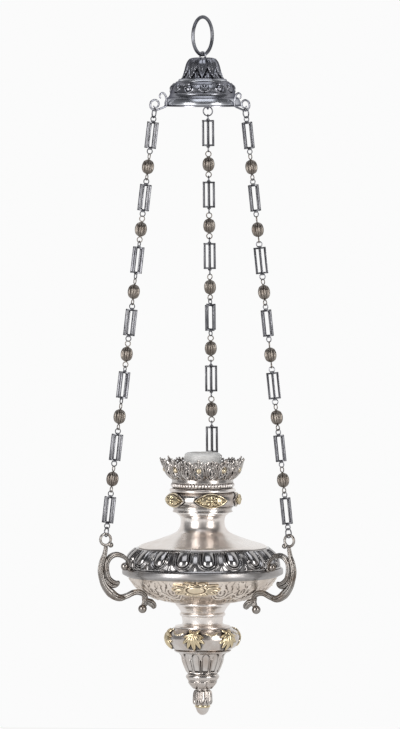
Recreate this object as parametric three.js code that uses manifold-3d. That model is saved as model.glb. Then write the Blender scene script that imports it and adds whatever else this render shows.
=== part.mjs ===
// A hanging vigil lamp: a suspension ring, a domed canopy with three scroll hooks, three chains of open box
// links and melon beads, and a turned body with three scroll arms, a pierced crown and a votive glass.
// Millimetres, +Z up. The origin is the inside top of the suspension ring, where it bears on what holds it.

import * as THREE from "three";
import { mergeVertices } from "three/addons/utils/BufferGeometryUtils.js";
import Module from "manifold-3d";

const wasm = await Module();
wasm.setup();

// Suspension ring and the eye that hangs on it
const suspensionRadius = 24.5;
const suspensionWire = 2.25;
const suspensionAzimuth = 65;
const eyeBoltWire = 1.1;
const eyeBoltShank = 2.4;
const eyeBoltLength = 15;
const nutHeight = 4.5;
const nutAcrossFlats = 11;

// Canopy
const canopyWall = 1.6;
const domeRadius = 28;
const domeHeight = 25;
const domeTopRadius = 12;
const domeCrest = 3;
const leafCount = 10;
const leafDepth = 1.7;
const skirtRadius = 49;
const skirtHeight = 35.5;
const skirtShoulderRadius = 40.3;
const rimHeight = 5.9;
const cabochonCount = 6;
const cabochonRadius = 5.6;
const cabochonRise = 2.2;

// Chain hooks
const hookOut = 19.5;
const hookWire = 1.25;
const hookCurlRadius = 7;
const hookCurlLift = 2.35;
const hookTipRadius = 4;

// Chains
const chainCount = 3;
const boxLinkCount = 7;
const boxLinkLength = 34.4;
const boxLinkWidth = 16;
const boxBarWidth = 2.9;
const boxBarThickness = 2;
const boxEndThickness = 2.2;
const beadLength = 19.6;
const beadRadius = 8;
const beadRibs = 6;
const beadRibDepth = 0.9;
const eyeRadius = 3.55;
const eyeWire = 0.7;
const eyeFusion = 0.4;
const jumpRingRadius = 6;
const jumpRingWire = 0.85;
const linkPlay = 0.25;
const linkTwist = 40;
const armPlay = 0.9;

// Turned body, from the widest plane up
const wall = 1.8;
const seatGap = 0.2;
const rimRadius = 104.7;
const bandUpper = 3.9;
const bandLower = 7.2;
const bandInset = 9.5;
const bandStep = 3.9;
const shoulderRun = 15;
const shoulderHeight = 26;
const gadroonCount = 18;
const gadroonRise = 3.2;
const gadroonOffset = 10;
const neckStep = 2.8;
const neckWaistRadius = 28.6;
const neckTopRadius = 32.5;
const neckHeight = 46.5;
const knopRadius = 46.8;
const knopFootRadius = 39;
const knopHeight = 25.4;
const knopFloor = 3;
const cartoucheCount = 5;
const cartoucheOffset = 20;
const cartoucheRise = 4.8;
const collarRadius = 41.6;
const collarHeight = 12.2;
const crownFootRadius = 39.7;
const crownFootHeight = 6;
const crownRadius = 56.6;
const crownHeight = 34.4;
const crownWall = 2.2;
const crownMotifs = 18;

// Turned body, from the widest plane down
const bandLip = 7.2;
const bowlFootRadius = 36.4;
const bowlDepth = 34.4;
const bowlFloor = 3;
const stemHeadRadius = 35.1;
const stemWaistRadius = 26;
const stemFlangeRadius = 36.4;
const stemHeight = 32.2;
const lowerKnopRadius = 48.1;
const lowerKnopHeadRadius = 39;
const lowerKnopFootRadius = 35.8;
const lowerKnopHeight = 28.6;
const palmetteCount = 6;
const palmetteOffset = -9;
const palmetteRise = 2.6;
const calyxHeadRadius = 32.5;
const calyxFootRadius = 19.5;
const calyxHeight = 38.6;
const calyxFlutes = 12;
const fluteDepth = 1.8;
const coneHeadRadius = 18.9;
const coneFootRadius = 10.1;
const coneHeight = 12.4;
const cupRadius = 13;
const cupHeight = 20.6;
const tipRadius = 9.8;
const tipHeight = 13;

// What is inside the body
const rodRadius = 3;
const boreClearance = 0.4;
const trayRadius = 28;
const trayDepth = 9;
const trayLedge = 6;
const ledgeWidth = 6;
const glassRadius = 24.3;
const glassHeight = 66;
const glassWall = 2.6;
const glassMouthRadius = 17.5;
const candleRadius = 15.5;
const candleHeight = 44;
const wickRadius = 0.9;
const wickHeight = 8;

// Gilt cartouches on the bowl
const bowlCartoucheWidth = 62;
const bowlCartoucheHeight = 23;
const bowlCartoucheThickness = 2.6;
const bowlCartoucheStandOff = 0.7;
const bowlCartoucheInset = 8.2;

// Scroll arms
const armReach = 137;
const armEyeHeight = 52;
const armEyeRadius = 7.3;
const armEyeWire = 1.7;
const armStemRadius = 3.5;
const armBulgeRadius = 5;
const armBelly = 7.6;
const armBulgeInset = 18;
const armBulgeDrop = 32;
const armTipInset = 27;
const armTipDrop = 11;
const armFootInset = 13.6;
const armScrollWire = 2.6;
const armScrollRise = 20;
const voluteRadius = 8.6;
const voluteBallRadius = 5.25;
const armBallRadius = 3.5;
const footBallRadius = 5.2;
const footBallDrop = 21;

const silver = new THREE.MeshStandardMaterial({ color: 0xb9b5ae, metalness: 1, roughness: 0.28 });
const darkSilver = new THREE.MeshStandardMaterial({ color: 0x6f6b67, metalness: 1, roughness: 0.4 });
const gilt = new THREE.MeshStandardMaterial({ color: 0xcdbb8d, metalness: 1, roughness: 0.32 });
const brass = new THREE.MeshStandardMaterial({ color: 0x9a7f4e, metalness: 1, roughness: 0.45 });
const opalGlass = new THREE.MeshStandardMaterial({ color: 0xe4e3e0, metalness: 0, roughness: 0.5 });
const wax = new THREE.MeshStandardMaterial({ color: 0xf3ecdc, metalness: 0, roughness: 0.6 });
const cotton = new THREE.MeshStandardMaterial({ color: 0xd8cfbd, metalness: 0, roughness: 0.95 });

const fullTurn = Math.PI * 2;
const radians = THREE.MathUtils.degToRad;
const at = (radius, height) => new THREE.Vector2(radius, height);

// A closed surface as shared vertices and no thin triangles, with its faces pointing out.
function sealed(geometry) {
  const bare = geometry.index ? geometry.toNonIndexed() : geometry.clone();
  for (const name of Object.keys(bare.attributes)) {
    if (name !== "position") bare.deleteAttribute(name);
  }
  const merged = mergeVertices(bare, 1e-4);
  const place = merged.attributes.position;
  const kept = [];
  let volume = 0;
  const corner = [new THREE.Vector3(), new THREE.Vector3(), new THREE.Vector3()];
  for (let i = 0; i < merged.index.count; i += 3) {
    const ids = [merged.index.getX(i), merged.index.getX(i + 1), merged.index.getX(i + 2)];
    if (new Set(ids).size < 3) continue;
    kept.push(...ids);
    ids.forEach((id, n) => corner[n].fromBufferAttribute(place, id));
    volume += corner[0].dot(corner[1].cross(corner[2]));
  }
  if (volume < 0) kept.reverse();
  merged.setIndex(kept);
  return merged;
}

function toSolid(geometry) {
  const closed = sealed(geometry);
  return new wasm.Manifold(
    new wasm.Mesh({
      numProp: 3,
      vertProperties: new Float32Array(closed.attributes.position.array),
      triVerts: new Uint32Array(closed.index.array),
    }),
  );
}

function toGeometry(solid) {
  const mesh = solid.getMesh();
  const geometry = new THREE.BufferGeometry();
  geometry.setAttribute("position", new THREE.BufferAttribute(mesh.vertProperties, 3));
  geometry.setIndex(new THREE.BufferAttribute(mesh.triVerts, 1));
  return geometry;
}

function joined(...geometries) {
  return toGeometry(geometries.map(toSolid).reduce((whole, next) => whole.add(next)));
}

function pierced(geometry, ...cutters) {
  return toGeometry(cutters.map(toSolid).reduce((whole, next) => whole.subtract(next), toSolid(geometry)));
}

function smooth(points, steps) {
  return new THREE.SplineCurve(points).getPoints(steps);
}

// The other side of a wall whose outer side is an outline from its foot up. Upright ends stay level.
function inset(outline, thickness) {
  return outline.map((here, i) => {
    const before = outline[Math.max(i - 1, 0)];
    const after = outline[Math.min(i + 1, outline.length - 1)];
    const along = after.clone().sub(before).normalize();
    const end = i === 0 || i === outline.length - 1;
    if (end && Math.abs(along.y) > 0.5) return at(here.x - thickness / Math.abs(along.y), here.y);
    return at(here.x - along.y * thickness, here.y + along.x * thickness);
  });
}

// A turned body about Z from a closed outline. Relief moves the outline's first points in or out by a rule of
// the angle, measured from the front towards +X, and of the height.
function revolved(outline, { segments = 32, start = 0, relief, reliefPoints = 0 } = {}) {
  const closed = [...outline, outline[0]];
  const geometry = new THREE.LatheGeometry(closed, segments, start, fullTurn);
  const place = geometry.attributes.position;
  for (let i = 0; relief && i < place.count; i += 1) {
    const step = i % closed.length;
    if (step >= reliefPoints && step !== outline.length) continue;
    const angle = start + (fullTurn * Math.floor(i / closed.length)) / segments;
    const radius = Math.hypot(place.getX(i), place.getZ(i));
    if (radius === 0) continue;
    const scale = (radius + relief(angle, place.getY(i))) / radius;
    place.setX(i, place.getX(i) * scale);
    place.setZ(i, place.getZ(i) * scale);
  }
  geometry.rotateX(Math.PI / 2);
  return sealed(geometry);
}

// The inner side of a rounded wall, with every second point of its outer side, from the top down.
function hollowOf(outer, floor = 0) {
  const lowest = outer[0].y + floor;
  const inner = inset(outer, wall).filter((p, i) => (outer.length - 1 - i) % 2 === 0 && p.y > lowest + 1);
  return [...inner.reverse(), at(inner[inner.length - 1].x * 0.96, lowest)];
}

// A turned piece from its outer side, foot first, and its inner side, top first.
function turned(outer, inner, options = {}) {
  return revolved([...outer, ...inner], { reliefPoints: outer.length, ...options });
}

// The wall of the tie rod's bore, from a top level down to a foot level
const boreWall = (top, foot) => [at(rodRadius + boreClearance, top), at(rodRadius + boreClearance, foot)];

// A round bar along a curve in the XZ plane, with its own thickness at each place and rounded ends.
function bar(points, thickness, steps, sides) {
  const curve = new THREE.CatmullRomCurve3(points.map((p) => new THREE.Vector3(p.x, 0, p.y)));
  const positions = [];
  const triangles = [];
  for (let i = 0; i <= steps; i += 1) {
    const share = i / steps;
    const centre = curve.getPointAt(share);
    const along = curve.getTangentAt(share);
    const across = new THREE.Vector3(-along.z, 0, along.x);
    for (let k = 0; k < sides; k += 1) {
      const angle = (fullTurn * k) / sides;
      const corner = centre.clone().addScaledVector(across, Math.cos(angle) * thickness(share));
      corner.y += Math.sin(angle) * thickness(share);
      positions.push(corner.x, corner.y, corner.z);
    }
  }
  const ends = [curve.getPointAt(0), curve.getPointAt(1)];
  for (const end of ends) positions.push(end.x, end.y, end.z);
  const lastRing = steps * sides;
  for (let k = 0; k < sides; k += 1) {
    const next = (k + 1) % sides;
    for (let i = 0; i < lastRing; i += sides) {
      triangles.push(i + k, i + next, i + sides + k, i + next, i + sides + next, i + sides + k);
    }
    triangles.push(lastRing + sides, next, k);
    triangles.push(lastRing + sides + 1, lastRing + k, lastRing + next);
  }
  const geometry = new THREE.BufferGeometry();
  geometry.setAttribute("position", new THREE.Float32BufferAttribute(positions, 3));
  geometry.setIndex(triangles);
  return sealed(geometry);
}

const ball = (radius, x, z) => new THREE.SphereGeometry(radius, 5, 4).translate(x, 0, z);

function nut(acrossFlats, height, bore) {
  const outer = acrossFlats / Math.sqrt(3);
  const body = new THREE.CylinderGeometry(outer, outer, height, 6).rotateX(Math.PI / 2);
  const hole = new THREE.CylinderGeometry(bore, bore, height * 2, 8).rotateX(Math.PI / 2);
  return pierced(body, hole);
}

function piece(name, geometry, material) {
  const mesh = new THREE.Mesh(geometry, material);
  mesh.name = name;
  return mesh;
}

// Levels of the canopy
const ringCentre = suspensionWire - suspensionRadius;
const ringFoot = ringCentre - suspensionRadius;
const eyeBoltRadius = suspensionWire + linkPlay * 4 + eyeBoltWire;
const eyeBoltCentre = ringFoot + suspensionWire + linkPlay * 2 - (eyeBoltRadius - eyeBoltWire);
const domeTop = eyeBoltCentre - eyeBoltRadius - eyeBoltWire;
const canopyFoot = domeTop - domeHeight - skirtHeight;

// Lengths along a chain, from the middle of the hook's wire to the middle of the arm eye's wire
const eyeStandOff = eyeRadius + eyeWire - eyeFusion;
const topRingCentre = jumpRingRadius - (hookWire + linkPlay + jumpRingWire);
const ringToLink = jumpRingRadius - (jumpRingWire + linkPlay + eyeWire) + eyeRadius + eyeStandOff;
const linkToBead = eyeStandOff * 2 + eyeRadius * 2 - eyeWire * 0.8;
const beadToLink = eyeStandOff * 2 + eyeRadius * 2 - (eyeWire * 2 + linkPlay);
const linkPitch = boxLinkLength + linkToBead + beadLength + beadToLink;
const firstLink = topRingCentre + ringToLink;
const lastLinkEnd = firstLink + (boxLinkCount - 1) * linkPitch + boxLinkLength;
const bottomRingCentre = lastLinkEnd + ringToLink;
const chainLength = bottomRingCentre + jumpRingRadius - (jumpRingWire + armPlay + armEyeWire);

// Where the chains hang
const hookReach = skirtRadius + hookOut;
const chainSpread = armReach - hookReach;
const chainDrop = Math.sqrt(chainLength ** 2 - chainSpread ** 2);
const chainDown = new THREE.Vector2(chainSpread, -chainDrop).divideScalar(chainLength);
const hookContact = at(hookReach, canopyFoot + hookCurlLift - hookCurlRadius);
const armContact = at(armReach, hookContact.y - chainDrop);
const bodyLevel = armContact.y - armEyeHeight;
const chainAzimuths = [90, 210, 330];

// Radii that follow the rim
const shoulderFootRadius = rimRadius - bandStep;
const shoulderTopRadius = shoulderFootRadius - shoulderRun;
const neckFootRadius = shoulderTopRadius - neckStep;
const bowlRadius = rimRadius - bandLip;

// Levels of the stacked body, from its widest plane
const shoulderFoot = bandUpper + seatGap;
const neckFoot = shoulderFoot + shoulderHeight + seatGap;
const knopFoot = neckFoot + neckHeight + seatGap;
const collarFoot = knopFoot + knopHeight + seatGap;
const crownFoot = collarFoot + collarHeight + seatGap;
const bowlHead = -bandLower - seatGap;
const stemHead = bowlHead - bowlDepth - seatGap;
const lowerKnopHead = stemHead - stemHeight - seatGap;
const calyxHead = lowerKnopHead - lowerKnopHeight - seatGap;
const coneHead = calyxHead - calyxHeight - seatGap;
const cupHead = coneHead - coneHeight - seatGap;
const tipHead = cupHead - cupHeight - seatGap;

// The bowl's outer side, foot first
const bowlSide = smooth(
  [
    at(bowlFootRadius, bowlHead - bowlDepth),
    at(bowlFootRadius * 1.35, bowlHead - bowlDepth * 0.92),
    at(bowlRadius * 0.69, bowlHead - bowlDepth * 0.75),
    at(bowlRadius * 0.88, bowlHead - bowlDepth * 0.43),
    at(bowlRadius, bowlHead),
  ],
  6,
);

// A place on the bowl's outer side at a radius, moved out of the metal by a distance.
function besideBowl(radius, distance) {
  const i = bowlSide.findIndex((p) => p.x > radius);
  const along = bowlSide[i].clone().sub(bowlSide[i - 1]);
  const share = (radius - bowlSide[i - 1].x) / along.x;
  const place = bowlSide[i - 1].clone().addScaledVector(along, share);
  along.normalize();
  return at(place.x + along.y * distance, place.y - along.x * distance);
}

function suspensionRing() {
  const ring = new THREE.TorusGeometry(suspensionRadius, suspensionWire, 5, 22);
  ring.rotateX(Math.PI / 2).rotateZ(radians(suspensionAzimuth)).translate(0, 0, ringCentre);
  return sealed(ring);
}

// The eye stands square to the ring, and its shank goes down through the dome.
function eyeBolt() {
  const eye = new THREE.TorusGeometry(eyeBoltRadius, eyeBoltWire, 4, 8);
  eye.rotateX(Math.PI / 2).rotateZ(radians(suspensionAzimuth + 90)).translate(0, 0, eyeBoltCentre);
  const collar = new THREE.CylinderGeometry(eyeBoltShank, eyeBoltShank * 1.5, eyeBoltWire * 1.6, 8);
  collar.rotateX(Math.PI / 2).translate(0, 0, domeTop + seatGap + eyeBoltWire * 0.8);
  const shank = new THREE.CylinderGeometry(eyeBoltShank, eyeBoltShank, eyeBoltLength, 8);
  shank.rotateX(Math.PI / 2).translate(0, 0, domeTop + eyeBoltWire - eyeBoltLength / 2);
  return joined(eye, collar, shank);
}

function canopyNut() {
  const shape = nut(nutAcrossFlats, nutHeight, eyeBoltShank + linkPlay);
  return shape.translate(0, 0, domeTop - canopyWall - seatGap - nutHeight / 2);
}

// Overlapping leaves hang down the dome, with a groove between each two. The eye stands in a well in its top.
function canopyDome() {
  const foot = domeTop - domeHeight + seatGap;
  const hole = eyeBoltShank + linkPlay;
  const crest = domeTop + domeCrest;
  const side = smooth(
    [
      at(domeRadius, foot),
      at(domeRadius * 0.83, foot + domeHeight * 0.38),
      at(domeRadius * 0.77, foot + domeHeight * 0.78),
      at(domeRadius * 0.68, domeTop),
      at(domeTopRadius, crest),
    ],
    4,
  );
  const well = eyeBoltRadius + eyeBoltWire + linkPlay * 2;
  const inner = [
    at(well, domeTop),
    at(hole, domeTop),
    at(hole, domeTop - canopyWall),
    at(domeTopRadius + 2, domeTop - canopyWall),
    at(domeRadius - 4, foot),
  ];
  const grooves = (angle, height) => {
    const depth = Math.min(1, (crest - height) / (domeHeight * 0.5));
    return -leafDepth * depth * Math.sin((angle * leafCount) / 2) ** 2;
  };
  return turned(side, inner, { segments: leafCount * 2, relief: grooves });
}

// A flange, an embossed band with round bosses, a cove and a rolled rim.
function canopySkirt() {
  const top = canopyFoot + skirtHeight;
  const bandMiddle = canopyFoot + skirtHeight * 0.66;
  const side = [
    at(skirtRadius + 1, canopyFoot),
    at(skirtRadius - 0.8, canopyFoot + rimHeight * 0.55),
    at(skirtRadius - 3, canopyFoot + rimHeight * 1.4),
    at(skirtShoulderRadius + 2.6, canopyFoot + skirtHeight * 0.45),
    at(skirtShoulderRadius, bandMiddle),
    at(skirtShoulderRadius - 3.4, canopyFoot + skirtHeight * 0.87),
    at(domeRadius + 0.6, top),
  ];
  const inner = [
    at(domeRadius - 4, top),
    at(domeRadius - 4, top - canopyWall),
    at(skirtShoulderRadius - 6.5, top - 6),
    at(skirtShoulderRadius - 2, bandMiddle - 3),
    at(skirtRadius - 3, canopyFoot),
  ];
  const bosses = [];
  for (let i = 0; i < cabochonCount; i += 1) {
    const dome = [
      at(cabochonRadius, -canopyWall * 0.6),
      at(cabochonRadius, 0),
      at(cabochonRadius * 0.7, cabochonRise * 0.8),
      at(0, cabochonRise),
      at(0, -canopyWall * 0.6),
    ];
    const boss = revolved(dome, { segments: 6 }).rotateY(Math.PI / 2);
    boss.translate(skirtShoulderRadius, 0, bandMiddle);
    bosses.push(boss.rotateZ((fullTurn * (i + 0.5)) / cabochonCount));
  }
  return joined(turned(side, inner, { segments: 18 }), ...bosses);
}

// The wire runs from a small curl above the rim, down past the rim, and up round a larger open curl.
function chainHook() {
  const curl = at(hookContact.x, hookContact.y).addScaledVector(chainDown, -hookCurlRadius);
  const rimTouch = skirtRadius + 1 + hookWire + seatGap;
  const onCurl = (angle, radius) => {
    const turned = radians(angle);
    return at(curl.x + Math.cos(turned) * radius, curl.y + Math.sin(turned) * radius);
  };
  const tip = at(rimTouch + hookTipRadius * 1.35, canopyFoot + rimHeight + hookTipRadius * 1.9);
  const points = [
    at(tip.x + hookTipRadius * 0.5, tip.y - hookTipRadius * 0.6),
    at(tip.x + hookTipRadius * 0.95, tip.y + hookTipRadius * 0.25),
    at(tip.x, tip.y + hookTipRadius),
    at(tip.x - hookTipRadius, tip.y - hookTipRadius * 0.1),
    at(rimTouch, canopyFoot + rimHeight),
    at(rimTouch, canopyFoot + rimHeight * 0.1),
    onCurl(-135, hookCurlRadius * 1.12),
    onCurl(-90, hookCurlRadius * 1.01),
    onCurl(-75, hookCurlRadius),
    onCurl(-20, hookCurlRadius),
    onCurl(35, hookCurlRadius * 0.98),
    onCurl(90, hookCurlRadius * 0.93),
    onCurl(145, hookCurlRadius * 0.86),
    onCurl(200, hookCurlRadius * 0.68),
  ];
  return bar(points, () => hookWire, 20, 4);
}

// An eye of round wire in the XZ plane, with corners at its top and foot
function eye() {
  return new THREE.TorusGeometry(eyeRadius, eyeWire, 3, 6).rotateZ(Math.PI / 2).rotateX(Math.PI / 2);
}

// Two flat frames cross at their ends, so four bars stand round an open middle. An eye stands on each end.
function boxLink() {
  const frame = new THREE.Shape();
  const window = new THREE.Path();
  const half = boxLinkWidth / 2;
  const inside = half - boxBarWidth;
  frame.moveTo(-half, 0);
  frame.lineTo(half, 0);
  frame.lineTo(half, boxLinkLength);
  frame.lineTo(-half, boxLinkLength);
  window.moveTo(-inside, boxEndThickness);
  window.lineTo(-inside, boxLinkLength - boxEndThickness);
  window.lineTo(inside, boxLinkLength - boxEndThickness);
  window.lineTo(inside, boxEndThickness);
  frame.holes.push(window);
  const flat = new THREE.ExtrudeGeometry(frame, { depth: boxBarThickness, bevelEnabled: false });
  flat.translate(0, 0, -boxBarThickness / 2).rotateX(Math.PI / 2).translate(0, 0, -boxLinkLength);
  const crossed = flat.clone().rotateZ(Math.PI / 2);
  const topEye = eye().translate(0, 0, eyeStandOff);
  const bottomEye = eye().translate(0, 0, -boxLinkLength - eyeStandOff);
  return joined(flat, crossed, topEye, bottomEye);
}

// A ribbed bead with an eye on each end, turned square to the eyes of the links.
function melonBead() {
  const poles = 4;
  const side = [];
  for (let i = 0; i <= poles; i += 1) {
    const angle = Math.PI * (i / poles - 0.5);
    side.push(at(Math.max(0, Math.cos(angle) * beadRadius), (Math.sin(angle) * beadLength) / 2));
  }
  side[0].x = 0;
  side[poles].x = 0;
  const ribs = (angle) => beadRibDepth * (Math.cos(angle * beadRibs) - 1) * 0.5;
  const body = revolved(side, {
    segments: beadRibs * 2,
    relief: (angle, height) => (Math.abs(height) < beadLength * 0.49 ? ribs(angle) : 0),
    reliefPoints: side.length,
  });
  body.translate(0, 0, -beadLength / 2);
  const topEye = eye().rotateZ(Math.PI / 2).translate(0, 0, eyeStandOff);
  const bottomEye = eye().rotateZ(Math.PI / 2).translate(0, 0, -beadLength - eyeStandOff);
  return joined(body, topEye, bottomEye);
}

function jumpRing() {
  const ring = new THREE.TorusGeometry(jumpRingRadius, jumpRingWire, 4, 8);
  return sealed(ring.rotateY(Math.PI / 2));
}

function gadroonedShoulder() {
  const top = shoulderFoot + shoulderHeight;
  const lip = neckFootRadius - 5;
  const side = [
    at(shoulderFootRadius, shoulderFoot),
    at(shoulderFootRadius - 1.8, shoulderFoot + shoulderHeight * 0.34),
    at(shoulderFootRadius - 7, shoulderFoot + shoulderHeight * 0.7),
    at(shoulderTopRadius, top),
  ];
  const inner = [
    at(lip, top),
    at(lip, top - wall),
    at(shoulderFootRadius - 11, shoulderFoot + shoulderHeight * 0.55),
    at(shoulderFootRadius - 3, shoulderFoot),
  ];
  // Each lobe is broad near its round foot and runs to a point at the top.
  const lobes = (angle, height) => {
    const share = (height - shoulderFoot) / shoulderHeight;
    const swell = Math.sin(Math.PI * Math.min(1, Math.max(0, 1.08 - share)));
    return gadroonRise * swell * Math.cos(((angle - radians(gadroonOffset)) * gadroonCount) / 2) ** 2;
  };
  const start = radians(gadroonOffset);
  return turned(side, inner, { segments: gadroonCount * 2, start, relief: lobes });
}

function rimBand() {
  const inner = rimRadius - bandInset;
  const outline = [
    at(inner, -bandLower),
    at(rimRadius - 6.5, -bandLower),
    at(rimRadius - 2, -bandUpper - 1.2),
    at(rimRadius, -bandUpper),
    at(rimRadius, bandUpper - 0.6),
    at(rimRadius - 0.8, bandUpper),
    at(inner, bandUpper),
  ];
  return revolved(outline, { segments: 24 });
}

function neck() {
  const top = neckFoot + neckHeight;
  const side = [
    at(neckFootRadius, neckFoot),
    ...smooth(
      [
        at(neckFootRadius - 1, neckFoot + 1.6),
        at(neckFootRadius * 0.72, neckFoot + neckHeight * 0.18),
        at(neckWaistRadius * 1.24, neckFoot + neckHeight * 0.38),
        at(neckWaistRadius, neckFoot + neckHeight * 0.68),
        at(neckTopRadius, top - 2),
      ],
      6,
    ),
    at(neckTopRadius, top),
  ];
  const inside = neckWaistRadius - wall;
  const inner = [
    at(inside, top),
    at(inside, neckFoot + neckHeight * 0.42),
    at(neckFootRadius * 0.55, neckFoot + neckHeight * 0.2),
    at(neckFootRadius - 4, neckFoot),
  ];
  return turned(side, inner, { segments: 20 });
}

function upperKnop() {
  const side = [
    at(knopFootRadius, knopFoot),
    at(knopFootRadius, knopFoot + knopHeight * 0.22),
    at(knopFootRadius + 5, knopFoot + knopHeight * 0.34),
    at(knopRadius, knopFoot + knopHeight * 0.58),
    at(knopRadius - 1.8, knopFoot + knopHeight * 0.84),
    at(collarRadius - 1, knopFoot + knopHeight),
  ];
  const floor = knopFoot + knopFloor;
  const inside = knopFootRadius - wall;
  const inner = [at(inside, knopFoot + knopHeight), at(inside, floor), ...boreWall(floor, knopFoot)];
  const middle = knopFoot + knopHeight * 0.56;
  const flowers = (angle, height) => {
    const across = Math.cos(((angle - radians(cartoucheOffset)) * cartoucheCount) / 2) ** 2;
    const up = Math.max(0, 1 - (Math.abs(height - middle) / (knopHeight * 0.42)) ** 2);
    return cartoucheRise * up * Math.min(1, across * 1.6);
  };
  const start = radians(cartoucheOffset);
  return turned(side, inner, { segments: cartoucheCount * 5, start, relief: flowers });
}

function beadedCollar() {
  const side = [
    at(collarRadius - 1, collarFoot),
    at(collarRadius + 1.3, collarFoot + 1.2),
    at(collarRadius + 1.3, collarFoot + 3.6),
    at(collarRadius - 3, collarFoot + 5.4),
    at(collarRadius - 0.4, collarFoot + 7.6),
    at(collarRadius - 0.4, collarFoot + 10.4),
    at(collarRadius - 2.8, collarFoot + collarHeight),
  ];
  const inside = collarRadius - 5;
  const inner = [at(inside, collarFoot + collarHeight), at(inside, collarFoot)];
  return turned(side, inner, { segments: 20 });
}

// The flare of the crown, by the share of its height above the foot ring
const crownFlare = new THREE.SplineCurve([
  at(crownFootRadius - 1, crownFoot + crownFootHeight - 1),
  at(crownRadius * 0.84, crownFoot + crownHeight * 0.33),
  at(crownRadius * 0.89, crownFoot + crownHeight * 0.53),
  at(crownRadius * 0.93, crownFoot + crownHeight * 0.76),
  at(crownRadius, crownFoot + crownHeight),
]);

// The crown is cut flat as a pierced and scalloped disc, then raised to its flare. A place on the disc has its
// angle and, as its distance from a foot circle of 1, the share of the flare's height.
function crownGallery() {
  const pitch = fullTurn / crownMotifs;
  const spot = (across, share) => {
    const angle = across * pitch;
    return new THREE.Vector2(Math.sin(angle) * (1 + share), -Math.cos(angle) * (1 + share));
  };
  const edge = [];
  const foot = [];
  const openings = [];
  for (let i = 0; i < crownMotifs; i += 1) {
    const tall = i % 2 === 0;
    const tip = tall ? 1 : 0.93;
    edge.push(spot(i, 0.7), spot(i + 0.24, tip - 0.07), spot(i + 0.5, tip), spot(i + 0.76, tip - 0.07));
    foot.push(spot(i, 0), spot(i + 0.5, 0));
    const low = tall ? 0.2 : 0.14;
    const high = tall ? 0.66 : 0.56;
    const middle = (low + high) / 2;
    const opening = [spot(i + 0.5, low), spot(i + 0.24, middle), spot(i + 0.5, high), spot(i + 0.76, middle)];
    openings.push(new THREE.Path(opening));
  }
  const disc = new THREE.Shape(edge);
  disc.holes.push(new THREE.Path(foot.reverse()), ...openings);
  const gallery = new THREE.ExtrudeGeometry(disc, { depth: crownWall, bevelEnabled: false });
  const place = gallery.attributes.position;
  for (let i = 0; i < place.count; i += 1) {
    const angle = Math.atan2(place.getX(i), -place.getY(i));
    const share = Math.min(1, Math.max(0, Math.hypot(place.getX(i), place.getY(i)) - 1));
    const onFlare = crownFlare.getPoint(share);
    const radius = onFlare.x - crownWall + place.getZ(i);
    place.setXYZ(i, Math.sin(angle) * radius, -Math.cos(angle) * radius, onFlare.y);
  }
  const inside = crownFootRadius - 3.4;
  const ring = [
    at(crownFootRadius, crownFoot),
    at(crownFootRadius, crownFoot + crownFootHeight),
    at(inside, crownFoot + crownFootHeight),
    at(inside, crownFoot),
  ];
  return joined(revolved(ring, { segments: crownMotifs }), gallery);
}

function bowl() {
  const floor = bowlSide[0].y + bowlFloor;
  const inner = [...hollowOf(bowlSide, bowlFloor), ...boreWall(floor, bowlSide[0].y)];
  return turned(bowlSide, inner, { segments: 24 });
}

// A long oval plate, domed in the middle, bent to the side of the bowl.
function bowlCartouche() {
  const rows = 2;
  const columns = 8;
  const centreRadius = bowlRadius - bowlCartoucheInset;
  const positions = [];
  const triangles = [];
  const layers = [bowlCartoucheStandOff, bowlCartoucheThickness];
  for (const lift of layers) {
    for (let i = 0; i <= rows; i += 1) {
      const up = (i / rows) * 2 - 1;
      for (let k = 0; k <= columns; k += 1) {
        const across = (k / columns) * 2 - 1;
        const swell = Math.sqrt(Math.max(0.06, 1 - across ** 2 * 0.94));
        const outside = lift === bowlCartoucheThickness;
        const dome = outside ? lift * (0.6 + 0.9 * swell * (1 - up ** 2)) : lift;
        const radius = centreRadius + (up * bowlCartoucheHeight * swell) / 3;
        const onSide = besideBowl(radius, dome);
        const angle = (across * bowlCartoucheWidth) / 2 / centreRadius;
        positions.push(onSide.x * Math.cos(angle), onSide.x * Math.sin(angle), onSide.y);
      }
    }
  }
  const row = columns + 1;
  const layer = row * (rows + 1);
  const quad = (a, b, c, d) => triangles.push(a, b, c, a, c, d);
  for (let i = 0; i < rows; i += 1) {
    for (let k = 0; k < columns; k += 1) {
      const a = i * row + k;
      quad(a, a + 1, a + row + 1, a + row);
      quad(layer + a, layer + a + row, layer + a + row + 1, layer + a + 1);
    }
    quad(i * row, i * row + row, layer + i * row + row, layer + i * row);
    const last = i * row + columns;
    quad(last, layer + last, layer + last + row, last + row);
  }
  for (let k = 0; k < columns; k += 1) {
    quad(k, layer + k, layer + k + 1, k + 1);
    const top = rows * row + k;
    quad(top, top + 1, layer + top + 1, layer + top);
  }
  const geometry = new THREE.BufferGeometry();
  geometry.setAttribute("position", new THREE.Float32BufferAttribute(positions, 3));
  geometry.setIndex(triangles);
  return sealed(geometry);
}

function lowerStem() {
  const foot = stemHead - stemHeight;
  const side = [
    at(stemFlangeRadius, foot),
    at(stemFlangeRadius, foot + 2),
    at(stemWaistRadius, foot + 5.4),
    at(stemWaistRadius, foot + 9.4),
    at(stemWaistRadius + 2, foot + 15),
    at(stemWaistRadius + 5.2, foot + 16.4),
    at(stemWaistRadius + 5.2, foot + 18.9),
    at(stemWaistRadius + 2.4, foot + 20.4),
    at(stemWaistRadius + 4.6, foot + stemHeight * 0.82),
    at(stemHeadRadius, stemHead),
  ];
  const inside = stemWaistRadius - wall;
  return turned(side, [at(inside, stemHead), at(inside, foot)], { segments: 18 });
}

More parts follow.
